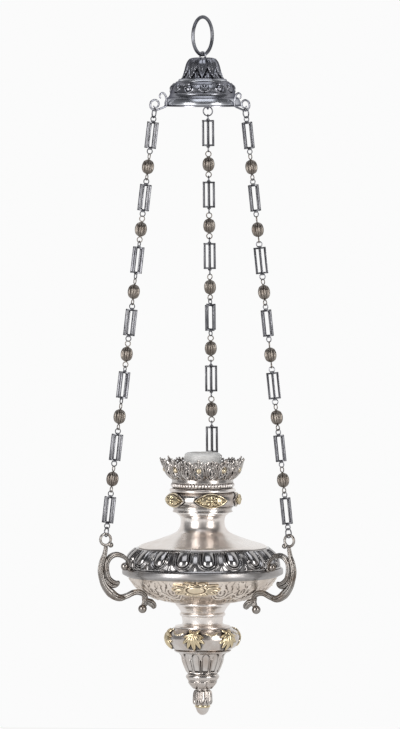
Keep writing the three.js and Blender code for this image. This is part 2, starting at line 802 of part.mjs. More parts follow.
function lowerKnop() {
  const foot = lowerKnopHead - lowerKnopHeight;
  const side = smooth(
    [
      at(lowerKnopFootRadius, foot),
      at(lowerKnopRadius - 3, foot + lowerKnopHeight * 0.28),
      at(lowerKnopRadius, foot + lowerKnopHeight * 0.55),
      at(lowerKnopRadius - 3.2, foot + lowerKnopHeight * 0.88),
      at(lowerKnopHeadRadius, lowerKnopHead),
    ],
    4,
  );
  const floor = foot + wall;
  const inside = lowerKnopFootRadius - wall;
  const inner = [at(inside, lowerKnopHead), at(inside, floor), ...boreWall(floor, foot)];
  const middle = foot + lowerKnopHeight * 0.46;
  const palmettes = (angle, height) => {
    const across = Math.cos(((angle - radians(palmetteOffset)) * palmetteCount) / 2) ** 2;
    const up = Math.max(0, 1 - (Math.abs(height - middle) / (lowerKnopHeight * 0.46)) ** 2);
    return palmetteRise * up * across;
  };
  const start = radians(palmetteOffset);
  return turned(side, inner, { segments: palmetteCount * 3, start, relief: palmettes });
}

function flutedCalyx() {
  const foot = calyxHead - calyxHeight;
  const side = [
    at(calyxFootRadius + 0.7, foot),
    at(calyxFootRadius + 2, foot + 2),
    at(calyxFootRadius + 2, foot + 5.2),
    at(calyxFootRadius, foot + 8),
    at(calyxFootRadius + 3.3, foot + calyxHeight * 0.42),
    at(calyxFootRadius + 7, foot + calyxHeight * 0.74),
    at(calyxHeadRadius, calyxHead),
  ];
  const flutes = (angle, height) => {
    const fluted = height > foot + 8.2 && height < calyxHead - 0.5;
    return fluted ? -fluteDepth * Math.sin((angle * calyxFlutes) / 2) ** 2 : 0;
  };
  const inside = calyxFootRadius - fluteDepth - wall;
  const inner = [at(inside, calyxHead), at(inside, foot)];
  return turned(side, inner, { segments: calyxFlutes * 2, relief: flutes });
}

function acanthusCone() {
  const foot = coneHead - coneHeight;
  const side = [
    at(coneFootRadius, foot),
    at(coneFootRadius + 2.3, foot + coneHeight * 0.28),
    at(coneHeadRadius - 2.6, foot + coneHeight * 0.66),
    at(coneHeadRadius, coneHead),
  ];
  const leaves = (angle) => -Math.abs(Math.sin(angle * 4)) * 1.2;
  return turned(side, boreWall(coneHead, foot), { segments: 16, relief: leaves });
}

function finialCup() {
  const foot = cupHead - cupHeight;
  const side = [
    at(cupRadius - 2.2, foot),
    at(cupRadius, foot + cupHeight * 0.16),
    at(cupRadius - 0.3, foot + cupHeight * 0.5),
    at(cupRadius - 1.3, foot + cupHeight * 0.82),
    at(tipRadius, cupHead),
  ];
  const leaves = (angle) => -Math.abs(Math.sin(angle * 4)) * 0.9;
  return turned(side, boreWall(cupHead, foot), { segments: 16, relief: leaves });
}

function finialTip() {
  const foot = tipHead - tipHeight;
  const bore = rodRadius + boreClearance;
  const side = [
    at(0, foot),
    at(tipRadius * 0.6, foot + tipHeight * 0.22),
    at(tipRadius * 0.87, foot + tipHeight * 0.52),
    at(tipRadius * 0.95, foot + tipHeight * 0.83),
    at(tipRadius, foot + tipHeight * 0.88),
    at(tipRadius, tipHead),
    at(bore, tipHead),
    at(bore, foot + tipHeight * 0.35),
    at(0, foot + tipHeight * 0.35),
  ];
  return revolved(side, { segments: 10 });
}

const trayFoot = knopFoot + knopFloor + seatGap;
const trayFloor = trayFoot + 2;
const glassFoot = trayFoot + trayLedge + 2 + seatGap;
const candleFoot = glassFoot + glassWall + seatGap;

// A dish with a raised ledge under the glass and a lip round it. The rod's nut sits in its middle.
function glassTray() {
  const bore = rodRadius + boreClearance;
  const ledge = glassRadius - ledgeWidth;
  const outline = [
    at(trayRadius, trayFoot),
    at(trayRadius, trayFoot + trayLedge + trayDepth),
    at(glassRadius + 1, trayFoot + trayLedge + trayDepth),
    at(glassRadius + 1, trayFoot + trayLedge + 2),
    at(ledge, trayFoot + trayLedge + 2),
    at(ledge, trayFloor),
    at(bore, trayFloor),
    at(bore, trayFoot),
  ];
  return revolved(outline, { segments: 14 });
}

function tieRod() {
  const top = trayFloor + nutHeight + 0.8;
  const foot = tipHead - tipHeight * 0.5;
  const rod = new THREE.CylinderGeometry(rodRadius, rodRadius, top - foot, 10).rotateX(Math.PI / 2);
  return sealed(rod.translate(0, 0, (top + foot) / 2));
}

function tieRodNut() {
  const shape = nut(nutAcrossFlats, nutHeight, rodRadius + boreClearance);
  return shape.translate(0, 0, trayFloor + seatGap + nutHeight / 2);
}

function vigilGlass() {
  const top = glassFoot + glassHeight;
  const round = glassRadius - glassMouthRadius;
  const side = [
    at(0, glassFoot),
    at(glassRadius - 3, glassFoot),
    at(glassRadius, glassFoot + 3),
    at(glassRadius, top - round),
    at(glassRadius - round * 0.3, top - round * 0.3),
    at(glassMouthRadius, top),
    at(glassMouthRadius, top - glassWall),
    at(glassRadius - glassWall - round * 0.25, top - glassWall - round * 0.3),
    at(glassRadius - glassWall, top - round - 1),
    at(glassRadius - glassWall, glassFoot + glassWall),
    at(0, glassFoot + glassWall),
  ];
  return revolved(side, { segments: 16 });
}

function candle() {
  const top = candleFoot + candleHeight;
  const dip = wickRadius + 0.4;
  const side = [
    at(0, candleFoot),
    at(candleRadius, candleFoot),
    at(candleRadius, top - 1.5),
    at(candleRadius - 1.5, top),
    at(dip, top - 2),
    at(dip, top - 6),
    at(0, top - 6),
  ];
  return revolved(side, { segments: 12 });
}

function wick() {
  const foot = candleFoot + candleHeight - 6 + seatGap;
  const height = wickHeight + 4;
  const strand = new THREE.CylinderGeometry(wickRadius, wickRadius, height, 6).rotateX(Math.PI / 2);
  return sealed(strand.translate(0, 0, foot + height / 2));
}

// A scroll arm in the XZ plane: an eye for the chain, a stem round the belly, a foot on the bowl, an inner
// scroll that ends in a volute against the band, and balls at the ends.
function scrollArm() {
  const eyeCentre = at(armReach, armEyeHeight).addScaledVector(chainDown, armEyeRadius);
  const foot = besideBowl(bowlRadius - armFootInset, armStemRadius * 0.85 + seatGap);
  const bellyReach = armReach + armBelly;
  const bulgeReach = armReach - armBulgeInset;
  const stem = [
    at(eyeCentre.x - 1, eyeCentre.y - armEyeRadius),
    at(eyeCentre.x + 1.2, eyeCentre.y - 20),
    at(bellyReach - 1.5, 15),
    at(bellyReach, 2),
    at(bellyReach - 5, -14),
    at(bulgeReach + 12, -armBulgeDrop + 8),
    at(bulgeReach, -armBulgeDrop),
    at(bulgeReach - 11, foot.y - 3.5),
    at(foot.x + 4, foot.y + 0.6),
    at(foot.x - 3, foot.y - 2.4),
    at(foot.x - 6, foot.y - 12),
    at(foot.x - 1, foot.y - 19),
  ];
  const stemThickness = (share) => {
    const bulge = Math.exp(-(((share - 0.6) / 0.1) ** 2));
    const plain = armStemRadius * (0.72 + 0.28 * Math.sin(Math.PI * share));
    return plain + (armBulgeRadius - armStemRadius) * bulge;
  };
  const volute = at(rimRadius + voluteRadius * 0.68, bandUpper + voluteRadius * 0.58);
  const curl = (angle, share) => {
    const turned = radians(angle);
    const radius = voluteRadius * share;
    return at(volute.x + Math.cos(turned) * radius, volute.y + Math.sin(turned) * radius);
  };
  const scroll = [
    at(bellyReach - armTipInset, -armTipDrop),
    at(bellyReach - armTipInset * 0.66, -armTipDrop * 1.05),
    at(bellyReach - 10.5, -5),
    at(bellyReach - 8, armScrollRise * 0.25),
    at(bellyReach - 8, armScrollRise * 0.75),
    at(bellyReach - 16, armScrollRise * 1.2),
    at(volute.x + 6, volute.y + 14),
    curl(125, 1.2),
    curl(180, 0.82),
    curl(235, 0.68),
    curl(300, 0.5),
  ];
  const scrollThickness = (share) => armScrollWire * (0.7 + 0.5 * Math.sin(Math.PI * share));
  const ring = new THREE.TorusGeometry(armEyeRadius, armEyeWire, 4, 9).rotateX(Math.PI / 2);
  ring.translate(eyeCentre.x, 0, eyeCentre.y);
  return joined(
    bar(stem, stemThickness, 15, 4),
    bar(scroll, scrollThickness, 12, 4),
    ring,
    ball(armBallRadius, eyeCentre.x - armEyeRadius, eyeCentre.y - armEyeRadius),
    ball(voluteBallRadius, volute.x, volute.y),
    ball(footBallRadius, foot.x, foot.y - footBallDrop),
    ball(armStemRadius, bellyReach - 5, 6),
  );
}

const lamp = new THREE.Group();
lamp.add(piece("suspension_ring", suspensionRing(), darkSilver));
lamp.add(piece("canopy_eye_bolt", eyeBolt(), darkSilver));
lamp.add(piece("canopy_nut", canopyNut(), brass));
lamp.add(piece("canopy_dome", canopyDome(), darkSilver));
lamp.add(piece("canopy_skirt", canopySkirt(), darkSilver));

const hookShape = chainHook();
const boxLinkShape = boxLink();
const beadShape = melonBead().translate(0, 0, -boxLinkLength - linkToBead);
const jumpRingShape = jumpRing();

// How far a link hangs turned at rest. On the rear chain the middle link is turned, and on the side chains
// the links just above and below the middle are.
function restTwist(chain, link) {
  const fromMiddle = Math.abs(link - (boxLinkCount - 1) / 2);
  return fromMiddle === (chain === 0 ? 0 : 1) ? radians(linkTwist) : 0;
}

// A link and the bead below it, which hangs turned with the next link.
function linkWithBead(chain, link) {
  const bead = beadShape.clone().rotateZ(restTwist(chain, link + 1) - restTwist(chain, link));
  return joined(boxLinkShape, bead);
}

chainAzimuths.forEach((azimuth, index) => {
  const side = new THREE.Group();
  side.rotation.z = radians(azimuth);
  side.add(piece(`chain_hook_${index + 1}`, hookShape, darkSilver));
  const chain = new THREE.Group();
  chain.position.set(hookContact.x, 0, hookContact.y);
  chain.rotation.y = -Math.asin(chainSpread / chainLength);
  const name = `chain_${index + 1}`;
  const topRing = piece(`${name}_top_ring`, jumpRingShape, darkSilver);
  topRing.position.z = -topRingCentre;
  const bottomRing = piece(`${name}_bottom_ring`, jumpRingShape, darkSilver);
  bottomRing.position.z = -bottomRingCentre;
  chain.add(topRing, bottomRing);
  for (let i = 0; i < boxLinkCount; i += 1) {
    const last = i === boxLinkCount - 1;
    const link = piece(`${name}_link_${i + 1}`, last ? boxLinkShape : linkWithBead(index, i), darkSilver);
    link.position.z = -(firstLink + i * linkPitch);
    link.rotation.z = restTwist(index, i);
    chain.add(link);
  }
  side.add(chain);
  lamp.add(side);
});

const body = new THREE.Group();
body.position.z = bodyLevel;
body.add(piece("crown_gallery", crownGallery(), silver));
body.add(piece("beaded_collar", beadedCollar(), silver));
body.add(piece("upper_knop", upperKnop(), gilt));
body.add(piece("neck", neck(), silver));
body.add(piece("gadrooned_shoulder", gadroonedShoulder(), silver));
body.add(piece("rim_band", rimBand(), silver));
body.add(piece("bowl", bowl(), silver));
body.add(piece("lower_stem", lowerStem(), silver));
body.add(piece("lower_knop", lowerKnop(), gilt));
body.add(piece("fluted_calyx", flutedCalyx(), silver));
body.add(piece("acanthus_cone", acanthusCone(), silver));
body.add(piece("finial_cup", finialCup(), silver));
body.add(piece("finial_tip", finialTip(), gilt));
body.add(piece("tie_rod", tieRod(), brass));
body.add(piece("tie_rod_nut", tieRodNut(), brass));
body.add(piece("glass_tray", glassTray(), brass));
body.add(piece("vigil_glass", vigilGlass(), opalGlass));
body.add(piece("candle", candle(), wax));
body.add(piece("wick", wick(), cotton));

const armShape = scrollArm();
const cartoucheShape = bowlCartouche();
chainAzimuths.forEach((azimuth, index) => {
  const side = new THREE.Group();
  side.rotation.z = radians(azimuth);
  side.add(piece(`arm_${index + 1}`, armShape, silver));
  const plate = piece(`bowl_cartouche_${index + 1}`, cartoucheShape, gilt);
  plate.rotation.z = radians(180 / chainCount);
  side.add(plate);
  body.add(side);
});
lamp.add(body);

export default lamp;
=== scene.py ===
# %% [markdown]
# # A hanging vigil lamp in worn silver plate
# The lamp hangs from a ring. Under it come a small domed canopy, three chains of open box links and ribbed
# beads, and a turned body with three scroll arms, a pierced crown and a glass for a candle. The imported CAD
# model says where each part is. Here each part gets the shape and the finish that a silversmith gave it.
# All sizes below are in millimetres, and they become metres only where a mesh is made.

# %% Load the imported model
import math

import bmesh
import bpy
import numpy as np
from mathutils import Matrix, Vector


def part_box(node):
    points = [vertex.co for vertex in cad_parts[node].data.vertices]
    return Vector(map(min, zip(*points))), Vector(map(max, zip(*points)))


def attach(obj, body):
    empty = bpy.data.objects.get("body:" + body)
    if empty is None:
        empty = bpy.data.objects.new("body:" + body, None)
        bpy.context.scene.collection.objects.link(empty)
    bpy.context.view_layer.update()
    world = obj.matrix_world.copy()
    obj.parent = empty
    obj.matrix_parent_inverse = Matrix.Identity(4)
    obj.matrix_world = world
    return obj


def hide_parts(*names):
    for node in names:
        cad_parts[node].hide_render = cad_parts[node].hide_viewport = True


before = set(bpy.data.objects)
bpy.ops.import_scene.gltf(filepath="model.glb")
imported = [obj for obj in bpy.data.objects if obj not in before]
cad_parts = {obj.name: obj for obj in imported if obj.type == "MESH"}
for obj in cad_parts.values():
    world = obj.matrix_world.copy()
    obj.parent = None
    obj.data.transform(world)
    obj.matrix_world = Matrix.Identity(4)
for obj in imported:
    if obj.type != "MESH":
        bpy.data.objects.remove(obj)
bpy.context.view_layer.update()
MM = 0.001

# %% [markdown]
# ## Levels
# The body is a stack of turned parts, so it is easiest to give heights from its widest plane, and the
# canopy's from its own rim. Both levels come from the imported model, so the pieces land where the CAD says.

# %% Find the two levels
BAND_LOWER = 7.2
RING_RADIUS, RING_WIRE = 24.5, 2.25
body_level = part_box("rim_band")[0][2] / MM + BAND_LOWER
canopy_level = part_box("canopy_skirt")[0][2] / MM
ring_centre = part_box("suspension_ring")[0][2] / MM + (RING_RADIUS + RING_WIRE)
CHAIN_AZIMUTHS = (90, 210, 330)
BETWEEN_ARMS = 60
print("levels", body_level, canopy_level, ring_centre)

# %% [markdown]
# ## Camera
# The photograph is taken from far away with a long lens, a little to the right of the middle and slightly
# from above. A pixel of it is 1.3 mm at the lamp, which sets the lens once the distance is chosen.

# %% Make the camera
PHOTO_PIXELS = (400, 729)
MM_PER_PIXEL = 1.3
CAMERA_DISTANCE = 12.0
CAMERA_AZIMUTH = math.radians(5.7)
CAMERA_HEIGHT = 0.17
AIM_HEIGHT = -0.449
AIM_SIDE = -0.0034
SENSOR = 24.0

camera_data = bpy.data.cameras.new("studio_camera")
camera = bpy.data.objects.new("studio_camera", camera_data)
bpy.context.scene.collection.objects.link(camera)
bpy.context.scene.camera = camera
right = np.array([math.cos(CAMERA_AZIMUTH), math.sin(CAMERA_AZIMUTH), 0.0])
behind = np.array([math.sin(CAMERA_AZIMUTH), -math.cos(CAMERA_AZIMUTH), 0.0])
aim = right * AIM_SIDE + np.array([0.0, 0.0, AIM_HEIGHT])
lift = CAMERA_HEIGHT - AIM_HEIGHT
camera.location = aim + behind * math.sqrt(CAMERA_DISTANCE**2 - lift**2) + np.array([0.0, 0.0, lift])
tilt = math.asin(lift / CAMERA_DISTANCE)
camera.rotation_euler = (math.pi / 2 - tilt, 0.0, CAMERA_AZIMUTH)
camera_data.sensor_fit = "AUTO"
camera_data.sensor_width = SENSOR
camera_data.lens = SENSOR * CAMERA_DISTANCE / (PHOTO_PIXELS[1] * MM_PER_PIXEL * MM)
camera_data.clip_end = 60
print("lens", round(camera_data.lens, 1))

# %% [markdown]
# ## One function for nodes
# Shader trees and Geometry Nodes trees are both built from nodes with settings and links. One small
# function adds a node, so that a tree reads from top to bottom like a recipe. A node given as a value stands
# for its first output.

# %% Add a node
def add(tree, kind, inputs=None, **settings):
    """Adds a node, sets what it is told, and links or fills its inputs."""
    node = tree.nodes.new(kind)
    for key, value in settings.items():
        setattr(node, key, value)
    for key, value in (inputs or {}).items():
        if isinstance(value, bpy.types.Node):
            value = value.outputs[0]
        if isinstance(value, bpy.types.NodeSocket):
            tree.links.new(value, node.inputs[key])
        else:
            node.inputs[key].default_value = value
    return node


def colour(code):
    """Turns an sRGB hex code into the linear colour that Blender's sockets take."""
    parts = [int(code[i : i + 2], 16) / 255 for i in (1, 3, 5)]
    return [p / 12.92 if p <= 0.04045 else ((p + 0.055) / 1.055) ** 2.4 for p in parts] + [1.0]


# %% [markdown]
# ## Floor, background and light
# Silver shows the room more than itself. Two tall soft lamps stand in front at about 40 degrees to each
# side, and they give the two upright lights that every round part of the photograph shows. The rest of the
# room is a quiet grey, so the metal keeps its dark parts. The floor and the background look white to the
# camera and in reflections by their own material, and not by more light on the lamp. A share of the floor is
# plain paper, which keeps the shadow.

# %% Lay the floor
FLOOR_LEVEL = -1.75
FLOOR_HALF = 9.0
FLOOR_GLOW = 0.95
CORNERS = ((-1, -1), (1, -1), (1, 1), (-1, 1))


def white_stage():
    """Paper that looks white by its own glow, and still takes the lamp's shadow."""
    material = bpy.data.materials.new("white_paper")
    material.use_nodes = True
    tree = material.node_tree
    tree.nodes.clear()
    rays = add(tree, "ShaderNodeLightPath")
    seen = add(tree, "ShaderNodeMath", {0: rays.outputs["Is Camera Ray"], 1: rays.outputs["Is Glossy Ray"]},
               operation="MAXIMUM")
    shown = add(tree, "ShaderNodeMath", {0: seen, 1: rays.outputs["Is Transmission Ray"]},
                operation="MAXIMUM")
    share = add(tree, "ShaderNodeMath", {0: shown, 1: FLOOR_GLOW}, operation="MULTIPLY")
    paper = add(tree, "ShaderNodeBsdfDiffuse", {"Color": colour("#F4F4F3")})
    glow = add(tree, "ShaderNodeEmission", {"Color": colour("#FBFBFB"), "Strength": 1.0})
    mix = add(tree, "ShaderNodeMixShader", {0: share, 1: paper, 2: glow})
    add(tree, "ShaderNodeOutputMaterial", {"Surface": mix})
    return material


floor_mesh = bpy.data.meshes.new("floor")
floor_corners = [(x * FLOOR_HALF, y * FLOOR_HALF, FLOOR_LEVEL) for x, y in CORNERS]
floor_mesh.from_pydata(floor_corners, [], [(0, 1, 2, 3)])
floor_mesh.materials.append(white_stage())
floor = bpy.data.objects.new("floor", floor_mesh)
bpy.context.scene.collection.objects.link(floor)

# %% Light the studio
WALL_START, WALL_FULL = 0.24, 0.34
ROOM_STRENGTH = 0.8


def soft_lamp(name, azimuth, height, distance, size, watts, tint):
    """A soft box that is turned to the lamp. Its azimuth counts from the camera towards the right."""
    data = bpy.data.lights.new(name, "AREA")
    data.shape = "RECTANGLE"
    data.size, data.size_y = size
    data.energy = watts
    data.color = colour(tint)[:3]
    lamp = bpy.data.objects.new(name, data)
    bpy.context.scene.collection.objects.link(lamp)
    turn = CAMERA_AZIMUTH + math.radians(azimuth)
    place = np.array([math.sin(turn), -math.cos(turn), 0.0]) * distance
    lamp.location = (place[0], place[1], height)
    down = math.atan2(height - AIM_HEIGHT, distance)
    lamp.rotation_euler = (math.pi / 2 - down, 0.0, turn)


soft_lamp("left_softbox", azimuth=-41, height=-0.15, distance=2.4, size=(1.1, 1.8), watts=38, tint="#FFFEFD")
soft_lamp("right_softbox", azimuth=43, height=-0.15, distance=2.4, size=(0.85, 1.7), watts=29, tint="#FFFEFC")
soft_lamp("top_softbox", azimuth=5, height=2.3, distance=0.9, size=(2.4, 1.8), watts=24, tint="#F6F9FF")

world = bpy.data.worlds.new("studio")
bpy.context.scene.world = world
world.use_nodes = True
sky = world.node_tree
sky.nodes.clear()
direction = add(sky, "ShaderNodeTexCoord")
parts = add(sky, "ShaderNodeSeparateXYZ", {0: direction.outputs["Generated"]})
shade = add(sky, "ShaderNodeValToRGB", {0: parts.outputs["Z"]})
shade.color_ramp.elements[0].position = 0.0
shade.color_ramp.elements[0].color = colour("#A2A3A5")
shade.color_ramp.elements[1].position = 0.9
shade.color_ramp.elements[1].color = colour("#3F4145")
# The white background stands behind the lamp. It is a side of the world and not a sheet, so it hides nothing
# when the lamp is looked at from behind.
wall = add(sky, "ShaderNodeMapRange", {"Value": parts.outputs["Y"], "From Min": WALL_START,
                                       "From Max": WALL_FULL})
ray = add(sky, "ShaderNodeLightPath")
bounced = add(sky, "ShaderNodeMath", {0: ray.outputs["Is Glossy Ray"], 1: ray.outputs["Is Transmission Ray"]},
              operation="MAXIMUM")
behind_lamp = add(sky, "ShaderNodeMath", {0: wall, 1: bounced}, operation="MULTIPLY")
white = add(sky, "ShaderNodeMath", {0: ray.outputs["Is Camera Ray"], 1: behind_lamp}, operation="MAXIMUM")
room = add(sky, "ShaderNodeBackground", {"Color": shade, "Strength": ROOM_STRENGTH})
plain = add(sky, "ShaderNodeBackground", {"Color": colour("#FBFBFB"), "Strength": 1.0})
both = add(sky, "ShaderNodeMixShader", {0: white, 1: room, 2: plain})
add(sky, "ShaderNodeOutputWorld", {"Surface": both})
bpy.context.scene.view_settings.view_transform = "Standard"

# %% [markdown]
# ## Worn and oxidised metal
# Old silver plate is bright where hands and cloths reach it and dark where they don't. So each mesh carries
# an attribute, patina, from 0 on its high edges to 1 in its hollows, and the material turns that into
# colour and roughness. A second attribute, gilt, says where the parcel gilding is, or the polish on the
# canopy. Slow clouds of tarnish and fine scratches come from noise on Object coordinates, at sizes given in
# millimetres. The band and the shoulder get darker grey copies of the silver, which are painted shade.

# %% Make the metals
GRIME_SIZE, GRIME_SHARE = 3.2, 0.09
SCRATCH_SIZE, SCRATCH_DEPTH = 1.4, 0.1


def tarnished(name, bright, blush, oxide, roughness, cloud, gilt=None, gilt_oxide=None, rim="#FFFFFF"):
    """Worn metal. Cloud is the size of its clouds of tarnish, and rim says how bright it is seen edge on."""
    material = bpy.data.materials.new(name)
    material.use_nodes = True
    tree = material.node_tree
    tree.nodes.clear()
    here = add(tree, "ShaderNodeTexCoord").outputs["Object"]
    hollow = add(tree, "ShaderNodeAttribute", attribute_name="patina").outputs["Fac"]
    gilded = add(tree, "ShaderNodeAttribute", attribute_name="gilt").outputs["Fac"]
    clouds = add(tree, "ShaderNodeTexNoise", {"Vector": here, "Scale": 1 / (cloud * MM), "Detail": 5.0,
                                              "Roughness": 0.62})
    grime = add(tree, "ShaderNodeTexNoise", {"Vector": here, "Scale": 1 / (GRIME_SIZE * MM), "Detail": 3.0})
    cloud_part = add(tree, "ShaderNodeMapRange", {"Value": clouds.outputs["Fac"], "From Min": 0.42,
                                                  "From Max": 0.68, "To Min": 0.0, "To Max": 1.0})
    plate = add(tree, "ShaderNodeMix", {0: cloud_part, 6: colour(bright), 7: colour(blush)},
                data_type="RGBA")
    top = add(tree, "ShaderNodeMix", {0: gilded, 6: plate.outputs[2], 7: colour(gilt or bright)},
              data_type="RGBA")
    deep = add(tree, "ShaderNodeMix", {0: gilded, 6: colour(oxide), 7: colour(gilt_oxide or oxide)},
               data_type="RGBA")
    shift = add(tree, "ShaderNodeMath", {0: grime.outputs["Fac"], 1: GRIME_SHARE, 2: -GRIME_SHARE / 2},
                operation="MULTIPLY_ADD")
    level = add(tree, "ShaderNodeMath", {0: hollow, 1: shift}, operation="ADD")
    dark = add(tree, "ShaderNodeMapRange", {"Value": level, "From Min": 0.5,
                                            "From Max": 0.86, "To Min": 0.0, "To Max": 1.0},
               interpolation_type="SMOOTHSTEP")
    base = add(tree, "ShaderNodeMix", {0: dark, 6: top.outputs[2], 7: deep.outputs[2]},
               data_type="RGBA")
    rough_part = add(tree, "ShaderNodeMath", {0: clouds.outputs["Fac"], 1: 0.16, 2: roughness - 0.08},
                     operation="MULTIPLY_ADD")
    rough = add(tree, "ShaderNodeMath", {0: dark, 1: 0.22, 2: rough_part},
                operation="MULTIPLY_ADD")
    scratch = add(tree, "ShaderNodeTexNoise", {"Vector": here, "Scale": 1 / (SCRATCH_SIZE * MM),
                                               "Detail": 4.0})
    bump = add(tree, "ShaderNodeBump", {"Height": scratch.outputs["Fac"], "Strength": 0.14,
                                        "Distance": SCRATCH_DEPTH * MM})
    metal = add(tree, "ShaderNodeBsdfPrincipled", {"Base Color": base.outputs[2], "Metallic": 1.0,
                                                   "Roughness": rough, "Specular Tint": colour(rim),
                                                   "Normal": bump})
    add(tree, "ShaderNodeOutputMaterial", {"Surface": metal})
    return material


# Polished sterling plate on brass: near white where worn, brown-black sulphide in the hollows
silver_plate = tarnished("worn_silver_plate", "#E8E3DF", "#D8CEC7", "#2B2826", 0.29, 42, "#E0D0B6", "#54453A")
# The chased knops and the finial were rubbed less than the plain parts, so they keep more of their brown
knop_silver = tarnished("chased_knop_silver", "#CAC5C1", "#B5AAA2", "#241F1C", 0.24, 30, "#CFBF9F", "#40332A")
# The shoulder's silver is a darker grey than the plain plate, which is painted shade for the dark room that
# its smooth bosses mirror
shoulder_silver = tarnished("sooty_shoulder_silver", "#ADABAB", "#8F8A87", "#1C1A19", 0.2, 30)
# The band's silver is a darker grey than the plain plate, which is painted shade for the dark room that its
# upright face mirrors, and it is rougher, so the lamps spread in it as soft gradients
band_silver = tarnished("handled_band_silver", "#AAA8A8", "#96918E", "#262322", 0.34, 42)
# The chased bowl holds dirt in its matted ground, which gives the silver a brown cast
bowl_silver = tarnished("chased_bowl_silver", "#E2D8CE", "#CCBFB3", "#54483F", 0.34, 26)
# The crown is cast and pierced, and dark in its many corners
crown_silver = tarnished("pierced_crown_silver", "#BDB8B4", "#9A928D", "#181513", 0.26, 18, "#CBBDA4",
                         "#3F3428")
# The arms are cast, and their skin was never burnished, so they stay a darker grey
arm_silver = tarnished("cast_arm_silver", "#9B9793", "#746A62", "#171412", 0.26, 14, rim="#A8A4A0")
# The canopy was cleaned less, so its silver is a dark gun grey, and only its rim and flange are polished
dark_plate = tarnished("oxidised_silver_plate", "#9B9CA2", "#7F7F85", "#17171A", 0.24, 34, "#CDCFD4",
                       "#26262A", rim="#8C8C92")
# Chain links of drawn silver wire, dull from handling
chain_silver = tarnished("oxidised_silver_wire", "#7A7A7E", "#5B5B5F", "#171718", 0.34, 14, rim="#9A9A9E")
# Beads pressed from two halves of warm alloy
bead_silver = tarnished("warm_bead_silver", "#878079", "#6A615A", "#201C19", 0.32, 9)
# Hidden fittings of plain brass
plain_brass = tarnished("plain_dull_brass", "#A88B55", "#8C7040", "#3A2B16", 0.42, 20)


def simple(name, code, roughness, **sockets):
    """A plain glass, wax or cotton, with fine uneven colour from noise."""
    material = bpy.data.materials.new(name)
    material.use_nodes = True
    tree = material.node_tree
    shader = tree.nodes["Principled BSDF"]
    here = add(tree, "ShaderNodeTexCoord").outputs["Object"]
    noise = add(tree, "ShaderNodeTexNoise", {"Vector": here, "Scale": 1 / (6 * MM), "Detail": 4.0})
    pale = [min(1.0, part * 1.06) for part in colour(code)]
    mix = add(tree, "ShaderNodeMix", {0: noise.outputs["Fac"], 6: colour(code), 7: pale}, data_type="RGBA")
    tree.links.new(mix.outputs[2], shader.inputs["Base Color"])
    shader.inputs["Roughness"].default_value = roughness
    for key, value in sockets.items():
        shader.inputs[key.replace("_", " ")].default_value = value
    return material


# Opal glass, ground matt outside: light spreads in it, so it is bright and has no clear view through
opal_glass = simple("frosted_opal_glass", "#E4E3E1", 0.42, Transmission_Weight=0.25, IOR=1.5)
candle_wax = simple("cream_candle_wax", "#F0E8D6", 0.5, Subsurface_Weight=0.2)
wick_cotton = simple("twisted_cotton", "#CFC4AE", 0.9)

# %% [markdown]
# ## Meshes
# Most parts of the lamp are turned on a lathe and then chased with punches and hammers. A turned and chased
# part is a grid of points, one way along its outline and the other way round the axis, and the chasing moves
# each point out or in by a few tenths of a millimetre. Drawing that height in numpy keeps every flower and
# shell a small formula.

# %% Curves and outlines
def length_along(line):
    """How far along a line each of its points lies."""
    return np.concatenate([[0], np.cumsum(np.linalg.norm(np.diff(line, axis=0), axis=1))])


def unit_along(line):
    """The direction of a line at each of its points."""
    along = np.gradient(line, axis=0)
    return along / np.linalg.norm(along, axis=1)[:, None]


def smooth_line(points, spacing):
    """Even places along a smooth curve through some points."""
    points = np.asarray(points, float)
    if len(points) > 2:
        ends = np.vstack([2 * points[0] - points[1], points, 2 * points[-1] - points[-2]])
        share = np.linspace(0, 1, 24, endpoint=False)[:, None]
        spans = []
        for a, b, c, d in zip(ends, ends[1:], ends[2:], ends[3:]):
            second, third = 2 * a - 5 * b + 4 * c - d, 3 * b - a - 3 * c + d
            spans.append(0.5 * (2 * b + (c - a) * share + second * share**2 + third * share**3))
        points = np.vstack(spans + [points[-1:]])
    length = length_along(points)
    count = max(2, int(round(length[-1] / spacing)) + 1)
    even = np.linspace(0, length[-1], count)
    return np.column_stack([np.interp(even, length, points[:, k]) for k in range(points.shape[1])])


def outline(*strokes, spacing=0.9):
    """Joins smooth strokes at sharp corners. Each stroke starts where the one before it ends."""
    line = smooth_line(strokes[0], spacing)
    for stroke in strokes[1:]:
        line = np.vstack([line, smooth_line([line[-1], *stroke], spacing)[1:]])
    return line


# %% Turn a grid of points into a mesh
def new_mesh(name, places, faces):
    """A mesh from places in millimetres."""
    mesh = bpy.data.meshes.new(name)
    mesh.from_pydata((np.asarray(places) * MM).tolist(), [], np.asarray(faces).tolist())
    mesh.validate()
    return mesh


def grid_faces(columns, rows, loop_columns=True, loop_rows=True):
    """Faces of a grid, which closes on itself along its columns, along its rows, or both ways."""
    wide, tall = columns - (not loop_columns), rows - (not loop_rows)
    i, k = np.meshgrid(np.arange(wide), np.arange(tall), indexing="ij")
    right_column = (i + 1) % columns
    next_row = (k + 1) % rows
    corners = [i * rows + k, right_column * rows + k, right_column * rows + next_row, i * rows + next_row]
    return np.stack(corners, -1).reshape(-1, 4)


def put_attribute(mesh, name, values):
    """Writes one number for each point, which a material or a tree can read by its name."""
    layer = mesh.attributes.get(name) or mesh.attributes.new(name, "FLOAT", "POINT")
    layer.data.foreach_set("value", np.asarray(values, np.float32))


def places_of(mesh):
    """The places of a mesh's points, in metres as Blender has them."""
    places = np.empty(len(mesh.vertices) * 3)
    mesh.vertices.foreach_get("co", places)
    return places.reshape(-1, 3)


def edited(mesh, change):
    """Makes a change to a mesh by way of bmesh."""
    work = bmesh.new()
    work.from_mesh(mesh)
    change(work)
    work.to_mesh(mesh)
    work.free()
    return mesh


def face_outwards(mesh):
    edited(mesh, lambda work: bmesh.ops.recalc_face_normals(work, faces=work.faces))


